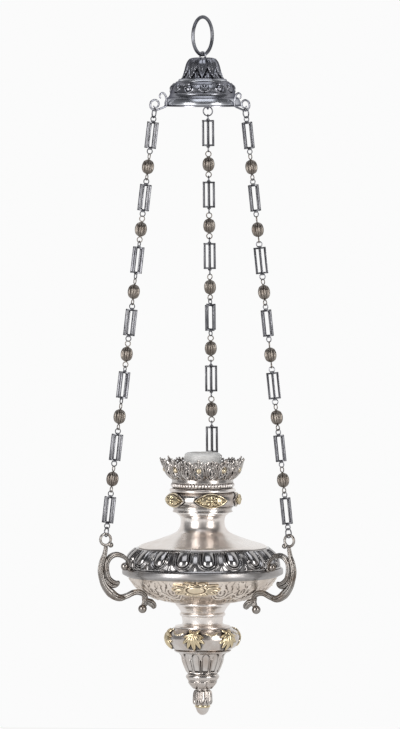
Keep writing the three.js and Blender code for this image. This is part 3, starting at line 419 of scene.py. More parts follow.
def drop_loose(mesh):
    """Deletes the points that no face needs."""
    def change(work):
        bmesh.ops.delete(work, geom=[point for point in work.verts if not point.link_faces], context="VERTS")
    edited(mesh, change)


def finished(holder):
    """The plain mesh that an object's modifiers make. The object itself goes."""
    bpy.context.view_layer.update()
    seen = holder.evaluated_get(bpy.context.evaluated_depsgraph_get())
    made = bpy.data.meshes.new_from_object(seen)
    bpy.data.objects.remove(holder)
    return made


def work_object(mesh):
    """A passing object that carries a modifier."""
    holder = bpy.data.objects.new("work", mesh)
    bpy.context.scene.collection.objects.link(holder)
    return holder


def thickened(mesh, thickness):
    """Gives an open sheet a wall, on the side that its faces turn away from."""
    holder = work_object(mesh)
    wall = holder.modifiers.new("wall", "SOLIDIFY")
    wall.thickness = thickness * MM
    wall.offset = -1.0
    return finished(holder)


def age(mesh, strength=2.6, spread=5, extra=None):
    """Writes the patina: the mean hollowness round each point, softened over its neighbours."""
    count = len(mesh.vertices)
    places = places_of(mesh) / MM
    normals = np.empty(count * 3)
    mesh.vertex_normals.foreach_get("vector", normals)
    normals = normals.reshape(-1, 3)
    ends = np.empty(len(mesh.edges) * 2, np.int64)
    mesh.edges.foreach_get("vertices", ends)
    a, b = ends.reshape(-1, 2).T
    along = places[b] - places[a]
    length = np.maximum(np.linalg.norm(along, axis=1), 0.05)
    along = along / length[:, None]
    rise_a = (normals[a] * along).sum(1) / length
    rise_b = -(normals[b] * along).sum(1) / length
    valence = np.bincount(a, minlength=count) + np.bincount(b, minlength=count)
    valence = np.maximum(valence, 1)
    hollow = (np.bincount(a, rise_a, count) + np.bincount(b, rise_b, count)) / valence
    for _ in range(spread):
        near = (np.bincount(a, hollow[b], count) + np.bincount(b, hollow[a], count)) / valence
        hollow = 0.5 * hollow + 0.5 * near
    value = 0.5 + 0.5 * np.tanh(hollow * strength)
    if extra is not None:
        value = value + extra
    put_attribute(mesh, "patina", np.clip(value, 0, 1))


# %% [markdown]
# A finished piece has its place in its mesh, rides on a body of the frame, and takes the place of the CAD
# node that it details. One function does that for every piece, so none is left behind.

# %% Put a piece on the lamp
RECESS_REACH, RECESS_LEAST = 2.4, 0.1


def mount_piece(name, mesh, material, body, slot, *nodes, sharp=50):
    mesh.name = name
    mesh.materials.clear()
    mesh.materials.append(material)
    mesh.shade_smooth()
    mesh.set_sharp_from_angle(angle=math.radians(sharp))
    piece = bpy.data.objects.new(name, mesh)
    bpy.context.scene.collection.objects.link(piece)
    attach(piece, body)
    if nodes:
        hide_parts(*nodes)


def local_mean(values, wide, tall):
    """The mean of a grid over some neighbours each way. The grid closes on itself along its columns."""
    total = sum(np.roll(values, step, 0) for step in range(-wide, wide + 1)) / (2 * wide + 1)
    padded = np.pad(total, ((0, 0), (tall, tall)), mode="edge")
    return sum(padded[:, step : step + values.shape[1]] for step in range(2 * tall + 1)) / (2 * tall + 1)


def chased(outer, inner, columns, relief=None, gilding=None, level=0.0, depth=0.0, **ageing):
    """A turned part with chasing on its outer side. Angles run from the front towards the right."""
    line = np.vstack([outer, inner])
    along = unit_along(outer)
    out = np.column_stack([along[:, 1], -along[:, 0]])
    if outer[-1, 1] < outer[0, 1]:
        out = -out
    angle = np.arange(columns)[:, None] * math.tau / columns
    radius = np.repeat(line[None, :, 0], columns, 0)
    height = np.repeat(line[None, :, 1], columns, 0)
    rise = np.zeros((columns, len(outer)))
    if relief:
        rise = relief(angle, outer[None, :, 0], outer[None, :, 1])
        radius[:, : len(outer)] += rise * out[None, :, 0]
        height[:, : len(outer)] += rise * out[None, :, 1]
    places = np.stack([radius * np.sin(angle), -radius * np.cos(angle), height + level], -1)
    mesh = new_mesh("turned", places.reshape(-1, 3), grid_faces(columns, len(line)))
    face_outwards(mesh)
    low = np.zeros((columns, len(line)))
    spacing = math.tau * outer[:, 0].max() / columns
    wide = max(1, round(RECESS_REACH / spacing))
    tall = max(1, round(RECESS_REACH / np.linalg.norm(outer[1] - outer[0])))
    recess = local_mean(rise, wide, tall) - rise - RECESS_LEAST
    low[:, : len(outer)] = np.clip(recess, 0, 1) * depth
    age(mesh, extra=low.reshape(-1), **ageing)
    gold = np.zeros((columns, len(line)))
    if gilding:
        gold[:, : len(outer)] = gilding(angle, outer[None, :, 0], outer[None, :, 1])
    put_attribute(mesh, "gilt", gold.reshape(-1))
    return mesh


# %% [markdown]
# ## Punches
# A chaser has a box of punches and repeats the same few marks: round bosses, leaves with a vein, and lines.
# Each function below is one punch, and gives the height it raises at a place, in millimetres.

# %% Heights of the punches
def around(angle, count, offset=0.0):
    """Where an angle lies across the nearest of some equal motifs, from -1 to 1."""
    turn = (angle - math.radians(offset)) * count / math.tau
    return 2 * (turn - np.round(turn))


def ease(low, high, value):
    """A smooth step from 0 at the low value to 1 at the high one."""
    share = np.clip((value - low) / (high - low), 0, 1)
    return share * share * (3 - 2 * share)


def ridge(value, middle, width):
    """A soft ridge of height 1 where a value comes near its middle."""
    return np.exp(-(((value - middle) / width) ** 2))


def boss(x, y, centre, size, rise):
    """A round or oval pearl."""
    far = ((x - centre[0]) / size[0]) ** 2 + ((y - centre[1]) / size[1]) ** 2
    return rise * np.sqrt(np.clip(1 - far, 0, 1))


def leaf(x, y, foot, tip, width, rise):
    """A pointed leaf from foot to tip, domed across, with a vein down its middle."""
    dx, dy = tip[0] - foot[0], tip[1] - foot[1]
    length = math.hypot(dx, dy)
    share = ((x - foot[0]) * dx + (y - foot[1]) * dy) / length**2
    side = ((x - foot[0]) * dy - (y - foot[1]) * dx) / length
    half = width * np.sqrt(np.clip(np.sin(math.pi * np.clip(share, 0, 1) ** 0.8), 0, 1)) + 1e-6
    across = np.abs(side) / half
    dome = np.sqrt(np.clip(1 - across**2, 0, 1))
    vein = 0.35 * ridge(across, 0, 0.22)
    inside = (share > 0) & (share < 1)
    return np.where(inside, rise * np.clip(dome - vein * dome, 0, 1), 0)


def spray(x, y, leaves, rise):
    """Several leaves, each with its foot, its tip and its width."""
    return np.maximum.reduce([leaf(x, y, *shape, rise) for shape in leaves])


def line_far(x, y, points):
    """The distance to a chased line through some points."""
    best = np.full(np.broadcast(x, y).shape, 1e9)
    for (ax, ay), (bx, by) in zip(points, points[1:]):
        dx, dy = bx - ax, by - ay
        share = np.clip(((x - ax) * dx + (y - ay) * dy) / (dx * dx + dy * dy + 1e-9), 0, 1)
        best = np.minimum(best, np.hypot(x - ax - share * dx, y - ay - share * dy))
    return best


def cord_line(x, y, points, width, rise):
    """A round cord laid along a line."""
    far = line_far(x, y, points)
    return rise * np.sqrt(np.clip(1 - (far / width) ** 2, 0, 1))


# %% [markdown]
# ## Geometry Nodes: a lathe, a wire and a ring of parts
# Three trees make what repeats or follows a rule. The lathe spins an outline and can cut flutes or press
# ribs into it. The wire runs a round section along a path, with its own thickness at each point. The ring
# repeats one part at equal steps round the axis.

# %% Start a tree
def new_tree(name, inputs):
    """A Geometry Nodes tree with its own inputs, and the node that gives them."""
    tree = bpy.data.node_groups.new(name, "GeometryNodeTree")
    tree.interface.new_socket("Geometry", in_out="INPUT", socket_type="NodeSocketGeometry")
    for label, kind, value in inputs:
        socket = tree.interface.new_socket(label, in_out="INPUT", socket_type=kind)
        if value is not None:
            socket.default_value = value
    tree.interface.new_socket("Geometry", in_out="OUTPUT", socket_type="NodeSocketGeometry")
    return tree, add(tree, "NodeGroupInput")


def run_tree(tree, mesh, **values):
    """Runs a tree on a mesh with its own input values, and returns the plain mesh that it makes."""
    holder = work_object(mesh)
    modifier = holder.modifiers.new("nodes", "NODES")
    modifier.node_group = tree
    for item in tree.interface.items_tree:
        key = item.name.lower().replace(" ", "_")
        if item.in_out == "INPUT" and key in values:
            modifier[item.identifier] = values[key]
    made = finished(holder)
    face_outwards(made)
    return made


# %% The lathe
def lathe_tree():
    tree, given = new_tree("lathe", [
        ("Segments", "NodeSocketInt", 64),
        ("Flutes", "NodeSocketInt", 0),
        ("Flute Depth", "NodeSocketFloat", 0.0),
        ("Low", "NodeSocketFloat", 0.0),
        ("High", "NodeSocketFloat", 1.0),
        ("Fade", "NodeSocketFloat", 0.001),
        ("Material", "NodeSocketMaterial", None),
    ])
    rows = add(tree, "GeometryNodeAttributeDomainSize", {"Geometry": given.outputs["Geometry"]},
               component="MESH")
    last = add(tree, "ShaderNodeMath", {0: rows.outputs["Point Count"], 1: 1.0}, operation="SUBTRACT")
    columns = add(tree, "ShaderNodeMath", {0: given.outputs["Segments"], 1: 1.0}, operation="ADD")
    grid = add(tree, "GeometryNodeMeshGrid", {"Size X": given.outputs["Segments"], "Size Y": last,
                                              "Vertices X": columns,
                                              "Vertices Y": rows.outputs["Point Count"]})
    place = add(tree, "GeometryNodeInputPosition")
    split = add(tree, "ShaderNodeSeparateXYZ", {0: place})
    turn = add(tree, "ShaderNodeMath", {0: split.outputs["X"], 1: given.outputs["Segments"]},
               operation="DIVIDE")
    angle = add(tree, "ShaderNodeMath", {0: turn, 1: math.tau}, operation="MULTIPLY")
    half = add(tree, "ShaderNodeMath", {0: last, 1: 0.5}, operation="MULTIPLY")
    row = add(tree, "ShaderNodeMath", {0: split.outputs["Y"], 1: half}, operation="ADD")
    near = add(tree, "ShaderNodeMath", {0: row, 1: 0.5}, operation="ADD")
    number = add(tree, "ShaderNodeMath", {0: near}, operation="FLOOR")
    sample = add(tree, "GeometryNodeSampleIndex", {"Geometry": given.outputs["Geometry"],
                                                   "Index": number},
                 data_type="FLOAT_VECTOR", domain="POINT")
    tree.links.new(place.outputs[0], sample.inputs["Value"])
    spot = add(tree, "ShaderNodeSeparateXYZ", {0: sample})
    part = add(tree, "ShaderNodeMath", {0: angle, 1: given.outputs["Flutes"]}, operation="MULTIPLY")
    fold = add(tree, "ShaderNodeMath", {0: part, 1: 0.5}, operation="MULTIPLY")
    wave = add(tree, "ShaderNodeMath", {0: fold}, operation="SINE")
    hollow = add(tree, "ShaderNodeMath", {0: wave}, operation="ABSOLUTE")
    low_end = add(tree, "ShaderNodeMath", {0: given.outputs["Low"], 1: given.outputs["Fade"]},
                  operation="ADD")
    high_end = add(tree, "ShaderNodeMath", {0: given.outputs["High"], 1: given.outputs["Fade"]},
                   operation="SUBTRACT")
    above = add(tree, "ShaderNodeMapRange", {"Value": spot.outputs["Z"], "From Min": given.outputs["Low"],
                                             "From Max": low_end}, interpolation_type="SMOOTHSTEP")
    below = add(tree, "ShaderNodeMapRange", {"Value": spot.outputs["Z"], "From Min": given.outputs["High"],
                                             "From Max": high_end}, interpolation_type="SMOOTHSTEP")
    within = add(tree, "ShaderNodeMath", {0: above, 1: below}, operation="MULTIPLY")
    cut = add(tree, "ShaderNodeMath", {0: hollow, 1: within}, operation="MULTIPLY")
    deep = add(tree, "ShaderNodeMath", {0: cut, 1: given.outputs["Flute Depth"]}, operation="MULTIPLY")
    radius = add(tree, "ShaderNodeMath", {0: spot.outputs["X"], 1: deep}, operation="SUBTRACT")
    kept = add(tree, "ShaderNodeMath", {0: radius, 1: 0.0}, operation="MAXIMUM")
    sine = add(tree, "ShaderNodeMath", {0: angle}, operation="SINE")
    cosine = add(tree, "ShaderNodeMath", {0: angle}, operation="COSINE")
    x = add(tree, "ShaderNodeMath", {0: kept, 1: sine}, operation="MULTIPLY")
    y = add(tree, "ShaderNodeMath", {0: kept, 1: cosine}, operation="MULTIPLY")
    back = add(tree, "ShaderNodeMath", {0: y, 1: -1.0}, operation="MULTIPLY")
    moved = add(tree, "ShaderNodeCombineXYZ", {"X": x, "Y": back, "Z": spot.outputs["Z"]})
    spun = add(tree, "GeometryNodeSetPosition", {"Geometry": grid.outputs["Mesh"], "Position": moved})
    sealed = add(tree, "GeometryNodeMergeByDistance", {"Geometry": spun, "Distance": 0.00001})
    real = add(tree, "GeometryNodeRealizeInstances", {"Geometry": sealed})
    dressed = add(tree, "GeometryNodeSetMaterial", {"Geometry": real,
                                                    "Material": given.outputs["Material"]})
    add(tree, "NodeGroupOutput", {"Geometry": dressed})
    return tree


LATHE = lathe_tree()


def profile_mesh(line, level=0.0, closed=True):
    """An outline as a string of points in the XZ plane, for the lathe."""
    places = [(r * MM, 0.0, (h + level) * MM) for r, h in line]
    if closed:
        places.append(places[0])
    mesh = bpy.data.meshes.new("outline")
    mesh.from_pydata(places, [(i, i + 1) for i in range(len(places) - 1)], [])
    return mesh


def turned(line, material, level=0.0, segments=96, closed=True, flutes=0, depth=0.0, low=0.0, high=1.0,
           fade=1.0, **ageing):
    """A turned part with its patina. A negative depth raises ribs where flutes would be cut."""
    made = run_tree(LATHE, profile_mesh(line, level, closed), segments=segments, flutes=flutes,
                    flute_depth=depth * MM, low=(low + level) * MM, high=(high + level) * MM, fade=fade * MM,
                    material=material)
    age(made, **ageing)
    return made


# %% The wire
def wire_tree():
    tree, given = new_tree("wire", [("Sides", "NodeSocketInt", 12), ("Material", "NodeSocketMaterial", None)])
    curve = add(tree, "GeometryNodeMeshToCurve", {"Mesh": given.outputs["Geometry"]})
    thick = add(tree, "GeometryNodeInputNamedAttribute", {"Name": "thickness"}, data_type="FLOAT")
    section = add(tree, "GeometryNodeCurvePrimitiveCircle", {"Resolution": given.outputs["Sides"],
                                                             "Radius": 1.0}, mode="RADIUS")
    swept = add(tree, "GeometryNodeCurveToMesh", {"Curve": curve,
                                                  "Profile Curve": section.outputs["Curve"],
                                                  "Scale": thick, "Fill Caps": True})
    real = add(tree, "GeometryNodeRealizeInstances", {"Geometry": swept})
    dressed = add(tree, "GeometryNodeSetMaterial", {"Geometry": real,
                                                    "Material": given.outputs["Material"]})
    add(tree, "NodeGroupOutput", {"Geometry": dressed})
    return tree


WIRE = wire_tree()


def wire(points, thickness, material, closed=False, sides=12):
    """A round wire through points in millimetres. A thickness is one number, or one for each point."""
    points = np.asarray(points, float)
    count = len(points)
    edges = [(i, i + 1) for i in range(count - 1)] + ([(count - 1, 0)] if closed else [])
    mesh = bpy.data.meshes.new("path")
    mesh.from_pydata((points * MM).tolist(), edges, [])
    put_attribute(mesh, "thickness", np.broadcast_to(thickness, count) * MM)
    return run_tree(WIRE, mesh, sides=sides, material=material)


def hoop(radius, thickness, material, steps=40, sides=12, flat="xz"):
    """A closed ring of wire about the origin, in the XZ or the YZ plane."""
    angle = np.linspace(0, math.tau, steps, endpoint=False)
    a, b, zero = radius * np.cos(angle), radius * np.sin(angle), np.zeros(steps)
    points = np.column_stack([a, zero, b] if flat == "xz" else [zero, a, b])
    return wire(points, thickness, material, closed=True, sides=sides)


# %% The ring of parts
def ring_tree():
    tree, given = new_tree("ring_of_parts", [("Count", "NodeSocketInt", 6),
                                             ("Material", "NodeSocketMaterial", None)])
    spots = add(tree, "GeometryNodeMeshLine", {"Count": given.outputs["Count"], "Offset": (0.0, 0.0, 0.0)})
    number = add(tree, "GeometryNodeInputIndex")
    turn = add(tree, "ShaderNodeMath", {0: number, 1: given.outputs["Count"]}, operation="DIVIDE")
    angle = add(tree, "ShaderNodeMath", {0: turn, 1: math.tau}, operation="MULTIPLY")
    spin = add(tree, "ShaderNodeCombineXYZ", {"Z": angle})
    copies = add(tree, "GeometryNodeInstanceOnPoints", {"Points": spots,
                                                        "Instance": given.outputs["Geometry"],
                                                        "Rotation": spin})
    real = add(tree, "GeometryNodeRealizeInstances", {"Geometry": copies})
    dressed = add(tree, "GeometryNodeSetMaterial", {"Geometry": real,
                                                    "Material": given.outputs["Material"]})
    add(tree, "NodeGroupOutput", {"Geometry": dressed})
    return tree


RING = ring_tree()


def moved(mesh, turn=None, shift=(0, 0, 0)):
    """Turns a mesh by a 3 x 3 matrix about the origin, then shifts it by millimetres."""
    places = places_of(mesh)
    if turn is not None:
        places = places @ np.asarray(turn).T
    places = places + np.asarray(shift) * MM
    mesh.vertices.foreach_set("co", places.reshape(-1))
    mesh.update()
    return mesh


def joined(*meshes):
    """Puts several meshes into one, with their attributes."""
    work = bmesh.new()
    for mesh in meshes:
        work.from_mesh(mesh)
    made = bpy.data.meshes.new("joined")
    work.to_mesh(made)
    work.free()
    return made


def about_z(degrees):
    """The matrix of a turn about the vertical."""
    c, s = math.cos(math.radians(degrees)), math.sin(math.radians(degrees))
    return np.array([[c, -s, 0], [s, c, 0], [0, 0, 1]])


# %% [markdown]
# ## Suspension ring and its eye
# The ring is a closed hoop of 4.5 mm round wire. The eye under it is bent from thinner wire, and its shank
# goes through the top of the dome into a nut. Both are wires on a path.

# %% Make the ring and the eye bolt
RING_AZIMUTH = 65
EYE_BOLT_RADIUS, EYE_BOLT_WIRE = 4.35, 1.1
top_ring = moved(hoop(RING_RADIUS, RING_WIRE, dark_plate, steps=72, sides=16), about_z(RING_AZIMUTH),
                 (0, 0, ring_centre))
age(top_ring, extra=0.3)
mount_piece("hanging_hoop", top_ring, dark_plate, "hanging_ring", "dark_silver", "suspension_ring")

DOME_TOP = 60.5
dome_top = canopy_level + DOME_TOP
bolt_eye = moved(hoop(EYE_BOLT_RADIUS, EYE_BOLT_WIRE, dark_plate, steps=28), about_z(RING_AZIMUTH + 90),
                 (0, 0, dome_top + EYE_BOLT_RADIUS + EYE_BOLT_WIRE))
bolt_line = outline([(0, -13.9), (2.4, -13.9)], [(2.4, 0.3)], [(3.6, 0.3)], [(3.7, 0.9), (2.4, 2.1)],
                    [(0, 2.1)], spacing=0.5)
bolt = joined(bolt_eye, turned(bolt_line, dark_plate, dome_top, segments=32, closed=False))
age(bolt, extra=0.1)
mount_piece("eye_bolt", bolt, dark_plate, "canopy", "dark_silver", "canopy_eye_bolt")

# %% [markdown]
# ## Canopy dome
# Ten long leaves hang down the dome side by side. Each is a shallow dish with a raised edge that shines, and
# in the dark gaps between their points the tips of a second row show. The dome is a turned grid, and the
# leaves are its relief.

# %% Chase the dome
DOME_LEAVES, DOME_FIRST, DOME_FOOT, DOME_RISE = 10, 4, 36, 27.5


def dome_leaves(angle, radius, height):
    share = (height - DOME_FOOT) / DOME_RISE
    x = around(angle, DOME_LEAVES, DOME_FIRST)
    back = around(angle, DOME_LEAVES, DOME_FIRST + 180 / DOME_LEAVES)
    half = np.clip(1.04 * ease(-0.08, 0.6, share), 0.001, 2)
    far = np.abs(x) / half
    front = np.clip(1 - far**8, 0, 1) - 0.3 * ridge(x, 0, 0.1)
    edge = 1.4 * ridge(far, 0.87, 0.09)
    far_back = np.abs(back) / np.clip(0.62 * ease(-0.1, 0.5, share), 0.001, 2)
    rear = 0.5 * np.clip(1 - far_back**6, 0, 1) + 0.6 * ridge(far_back, 0.82, 0.12)
    raised = np.where(far < 1, front + edge, rear - 0.9)
    fade = ease(0.01, 0.07, share) * (1 - ease(0.86, 1.0, share))
    return raised * fade


dome_side = outline([(28, 35.7), (27.4, 36.9)], [(24.8, 39.6), (22.0, 45.6), (20.5, 51.0), (18.7, 56.0),
                     (16.2, 59.4), (13.4, 61.9), (10.8, 63.0), (8.6, 62.6), (6.2, 60.7)], [(2.65, 60.5)],
                    spacing=0.55)
dome_inside = outline([(2.65, 60.5), (2.65, 58.9)], [(13.4, 58.9)], [(17.8, 51), (24, 35.7)], spacing=2)
dome = chased(dome_side, dome_inside[1:], columns=480, relief=dome_leaves, level=canopy_level, depth=1.0,
              strength=1.1, spread=3)
mount_piece("leaf_dome", dome, dark_plate, "canopy", "dark_silver", "canopy_dome")

# %% [markdown]
# ## Canopy skirt
# Below the dome come a flange, a band of round bosses in rings with leaves between them, a cove, and a roll
# at the rim. The roll and the flange are polished, and the attribute gilt marks them, because in this metal
# its colour is that of polished silver.

# %% Chase the skirt
BAND_BOSSES, BAND_FIRST, BAND_RADIUS, BAND_MIDDLE = 6, 39, 40, 24.2
BOSS_RADIUS, BOSS_RISE, BOSS_RING, BAND_RISE = 3.9, 2.6, 5.5, 1.5
BAND_LEAVES = [((0, -5), (0, 5.5), 2.0), ((0, -4.5), (5.2, 4.5), 1.7), ((0, -4.5), (7.5, -0.5), 1.5)]


def skirt_band(angle, radius, height):
    half_pitch = math.pi * BAND_RADIUS / BAND_BOSSES
    x = around(angle, BAND_BOSSES, BAND_FIRST) * half_pitch
    between = around(angle, BAND_BOSSES, BAND_FIRST - 180 / BAND_BOSSES) * half_pitch
    y = height - BAND_MIDDLE
    raised = boss(x, y, (0, 0), (BOSS_RADIUS, BOSS_RADIUS), BOSS_RISE)
    raised = np.maximum(raised, BAND_RISE * ridge(np.hypot(x, y * 1.05), BOSS_RING, 0.75))
    for side in (-1, 1):
        raised = np.maximum(raised, spray(side * between, y, BAND_LEAVES, BAND_RISE))
        raised = np.maximum(raised, boss(side * x, y, (9.3, 4.5), (1.3, 1.3), 1.0))
    fade = ease(16.6, 18.0, height) * (1 - ease(30.6, 32, height))
    return (raised - 0.7) * fade


def skirt_polish(angle, radius, height):
    rim = ease(1.6, 2.4, height) * (1 - ease(8.6, 10.4, height))
    return np.broadcast_to(np.maximum(rim, ease(32.2, 33, height)), (angle.shape[0], height.shape[1]))


skirt_side = outline([(50, 0), (50.1, 1.4)], [(49.2, 1.9)], [(49.7, 3.4), (49.2, 6.2), (47.9, 9.0)],
                     [(46.9, 10.6), (45.8, 11.4)], [(44.7, 11.8)], [(43.4, 13.6), (42.6, 15.8),
                      (42.4, 16.6)], [(43.0, 17.2)], [(42.0, 20), (40.8, 24), (38.6, 28), (34.8, 31.6)],
                     [(31.8, 32.6)], [(31.4, 34), (30.4, 35.2), (28.6, 35.5)], spacing=0.6)
skirt_inside = outline([(28.6, 35.5), (24, 35.5)], [(24, 33.9)], [(33.8, 29.5), (38.3, 20.4), (46, 0)],
                       [(50, 0)], spacing=2)
skirt = chased(skirt_side, skirt_inside[1:-1], columns=540, relief=skirt_band, gilding=skirt_polish,
               level=canopy_level, depth=0.6, strength=1.4, spread=2)
mount_piece("canopy_bell", skirt, dark_plate, "canopy", "dark_silver", "canopy_skirt")

# %% [markdown]
# ## Hooks
# Each hook is one wire: a small curl above the rim, a run down the rim, and a large open curl that the chain
# hangs in. The curl that carries the chain keeps the place that the CAD gives it.

# %% Bend the hooks
HOOK_WIRE, HOOK_CURL = 1.35, 7.0
CHAIN_SPREAD, CHAIN_LENGTH, HOOK_REACH = 68.5, 552.14, 68.5
lean = math.asin(CHAIN_SPREAD / CHAIN_LENGTH)
hook_contact = np.array([HOOK_REACH, -4.65])
curl_centre = hook_contact - HOOK_CURL * np.array([math.sin(lean), -math.cos(lean)])


def on_curl(degrees, share):
    """A place on the curl that carries the chain, or at a share of its radius."""
    turn = math.radians(degrees)
    return curl_centre + HOOK_CURL * share * np.array([math.cos(turn), math.sin(turn)])


hook_path = [(59.6, 10.6), (61.2, 13.4), (59.8, 16.6), (56.4, 17.6), (53.0, 14.6), (51.6, 9.5), (51.45, 5.9),
             (51.6, 0.9), on_curl(-135, 1.12), on_curl(-90, 1.01), on_curl(-75, 1.0), on_curl(-20, 1.0),
             on_curl(35, 0.98), on_curl(90, 0.93), on_curl(145, 0.86), on_curl(200, 0.68), on_curl(262, 0.52),
             on_curl(330, 0.4)]
hook_line = smooth_line(hook_path, 0.9)
hook_share = np.linspace(0, 1, len(hook_line))
hook_thick = HOOK_WIRE * (0.62 + 0.38 * ease(0, 0.12, hook_share)) * (1 - 0.35 * ease(0.82, 1, hook_share))
hook_points = np.column_stack([hook_line[:, 0], np.zeros(len(hook_line)), hook_line[:, 1] + canopy_level])
for number, azimuth in enumerate(CHAIN_AZIMUTHS, 1):
    bent = moved(wire(hook_points, hook_thick, dark_plate), about_z(azimuth))
    age(bent, extra=0.16)
    mount_piece(f"scroll_hook_{number}", bent, dark_plate, "canopy", "dark_silver", f"chain_hook_{number}")

# %% [markdown]
# ## Chains
# A box link is two flat frames that cross, so four bars stand round an open middle. A ribbed bead follows,
# pressed from two halves. Small eyes of wire join them, each square to the next. The parts are made once at
# the origin, and copies go down each chain on the line that the CAD gives.

# %% Make a box link and a bead
LINK_LENGTH, LINK_WIDTH, BAR_WIDTH, BAR_THICK, END_THICK = 34.4, 16.0, 2.9, 2.0, 2.2
BEAD_LENGTH, BEAD_RADIUS, BEAD_RIBS, RIB_DEPTH = 19.6, 8.0, 12, 1.1
EYE_RADIUS, EYE_WIRE, EYE_STAND = 3.55, 0.7, 3.85
JUMP_RADIUS, JUMP_WIRE = 6.0, 0.85
LINK_TO_BEAD, LINK_COUNT = 14.24, 7
FIRST_LINK, LINK_PITCH, BOTTOM_RING, TOP_RING = 15.25, 81.39, 549.59, 3.65


def bar_box(low, high, rounding=0.35):
    """A straight bar with its edges filed round."""
    size = np.subtract(high, low)
    middle = np.add(high, low) / 2

    def change(work):
        bmesh.ops.create_cube(work, size=1)
        for vertex in work.verts:
            vertex.co = [(c * s + m) * MM for c, s, m in zip(vertex.co, size, middle)]
        bmesh.ops.bevel(work, geom=work.edges[:], offset=rounding * MM, segments=2, affect="EDGES",
                        profile=0.5)
    return edited(bpy.data.meshes.new("bar"), change)


def small_eye(material, flat="xz"):
    return hoop(EYE_RADIUS, EYE_WIRE, material, steps=24, sides=8, flat=flat)


def box_link():
    """Two crossed frames of flat bar, with a knob and an eye at each end."""
    half, thick = LINK_WIDTH / 2, BAR_THICK / 2
    bars = []
    for turn in (0, 90):
        for side in (-1, 1):
            x = sorted((side * half, side * (half - BAR_WIDTH)))
            bars.append(moved(bar_box((x[0], -thick, -LINK_LENGTH), (x[1], thick, 0)), about_z(turn)))
        for top in (0, -LINK_LENGTH + END_THICK):
            bars.append(moved(bar_box((-half, -thick, top - END_THICK), (half, thick, top)), about_z(turn)))
    knob_line = outline([(0, -1.3), (1.9, -1.2), (2.4, 0), (1.6, 1.1), (0, 1.4)], spacing=0.5)
    for height in (0.6, -LINK_LENGTH - 0.6):
        bars.append(turned(knob_line, chain_silver, height, segments=20, closed=False))
    for height in (EYE_STAND, -LINK_LENGTH - EYE_STAND):
        bars.append(moved(small_eye(chain_silver), shift=(0, 0, height)))
    link = joined(*bars)
    age(link, spread=2, strength=0.5, extra=0.05)
    return link


def ribbed_bead():
    """An oval bead, with ribs that the lathe tree raises."""
    angle = np.linspace(-math.pi / 2, math.pi / 2, 25)
    valley = BEAD_RADIUS - RIB_DEPTH
    line = np.column_stack([np.maximum(np.cos(angle), 0) * valley, np.sin(angle) * BEAD_LENGTH / 2])
    line[[0, -1], 0] = 0
    return turned(line, bead_silver, -BEAD_LENGTH / 2, segments=12 * BEAD_RIBS, closed=False,
                  flutes=BEAD_RIBS, depth=-RIB_DEPTH, low=-BEAD_LENGTH / 2, high=BEAD_LENGTH / 2, fade=3.0,
                  strength=1.2, spread=2)


link_pattern = box_link()
bead_pattern = joined(ribbed_bead(), *[
    moved(small_eye(bead_silver, "yz"), shift=(0, 0, height))
    for height in (EYE_STAND, -BEAD_LENGTH - EYE_STAND)])
jump_ring = hoop(JUMP_RADIUS, JUMP_WIRE, chain_silver, steps=32, sides=10, flat="yz")
age(jump_ring, extra=0.05)
tilted = np.array([[math.cos(lean), 0, -math.sin(lean)], [0, 1, 0], [math.sin(lean), 0, math.cos(lean)]])
print("link", len(link_pattern.polygons), "bead", len(bead_pattern.polygons))

# %% [markdown]
# A chain at rest is never quite straight. One or two of its links hang turned, and the bead above a turned
# link turns with it.

# %% Hang the chains
REST_TWIST = 40


def rest_twist(number, step):
    """How far a link hangs turned: the middle one behind, and the two beside the middle in front."""
    return REST_TWIST if abs(step - LINK_COUNT // 2) == (0 if number == 1 else 1) else 0


for number, azimuth in enumerate(CHAIN_AZIMUTHS, 1):
    turn = about_z(azimuth) @ tilted
    start = about_z(azimuth) @ np.array([HOOK_REACH, 0, canopy_level + hook_contact[1]])

    def down_chain(pattern, distance, twist=0):
        return moved(pattern.copy(), turn @ about_z(twist), start - turn[:, 2] * distance)

    chain = f"chain_{number}"
    for end, distance in (("top", TOP_RING), ("bottom", BOTTOM_RING)):
        mount_piece(f"{chain}_{end}_jump_ring", down_chain(jump_ring, distance), chain_silver, chain,
                    "dark_silver", f"{chain}_{end}_ring")
    for step in range(LINK_COUNT):
        distance = FIRST_LINK + step * LINK_PITCH
        body = f"{chain}_link_{step + 1}"
        box = down_chain(link_pattern, distance, rest_twist(number, step))
        mount_piece(f"{chain}_box_{step + 1}", box, chain_silver, body, "dark_silver", body, sharp=30)
        if step < LINK_COUNT - 1:
            below = distance + LINK_LENGTH + LINK_TO_BEAD
            bead = down_chain(bead_pattern, below, rest_twist(number, step + 1))
            mount_piece(f"{chain}_bead_{step + 1}", bead, bead_silver, body, "dark_silver")

# %% [markdown]
# ## Pierced crown
# The crown is cast and pierced: nine arches with a pearl and nine oval shells, joined by stems, with a row of
# points that curl outwards. It is drawn flat as chased lines. A face of the grid stays where a line passes,
# and the points beside an edge move onto it, so that the piercing is smooth. Solidify gives it its wall.

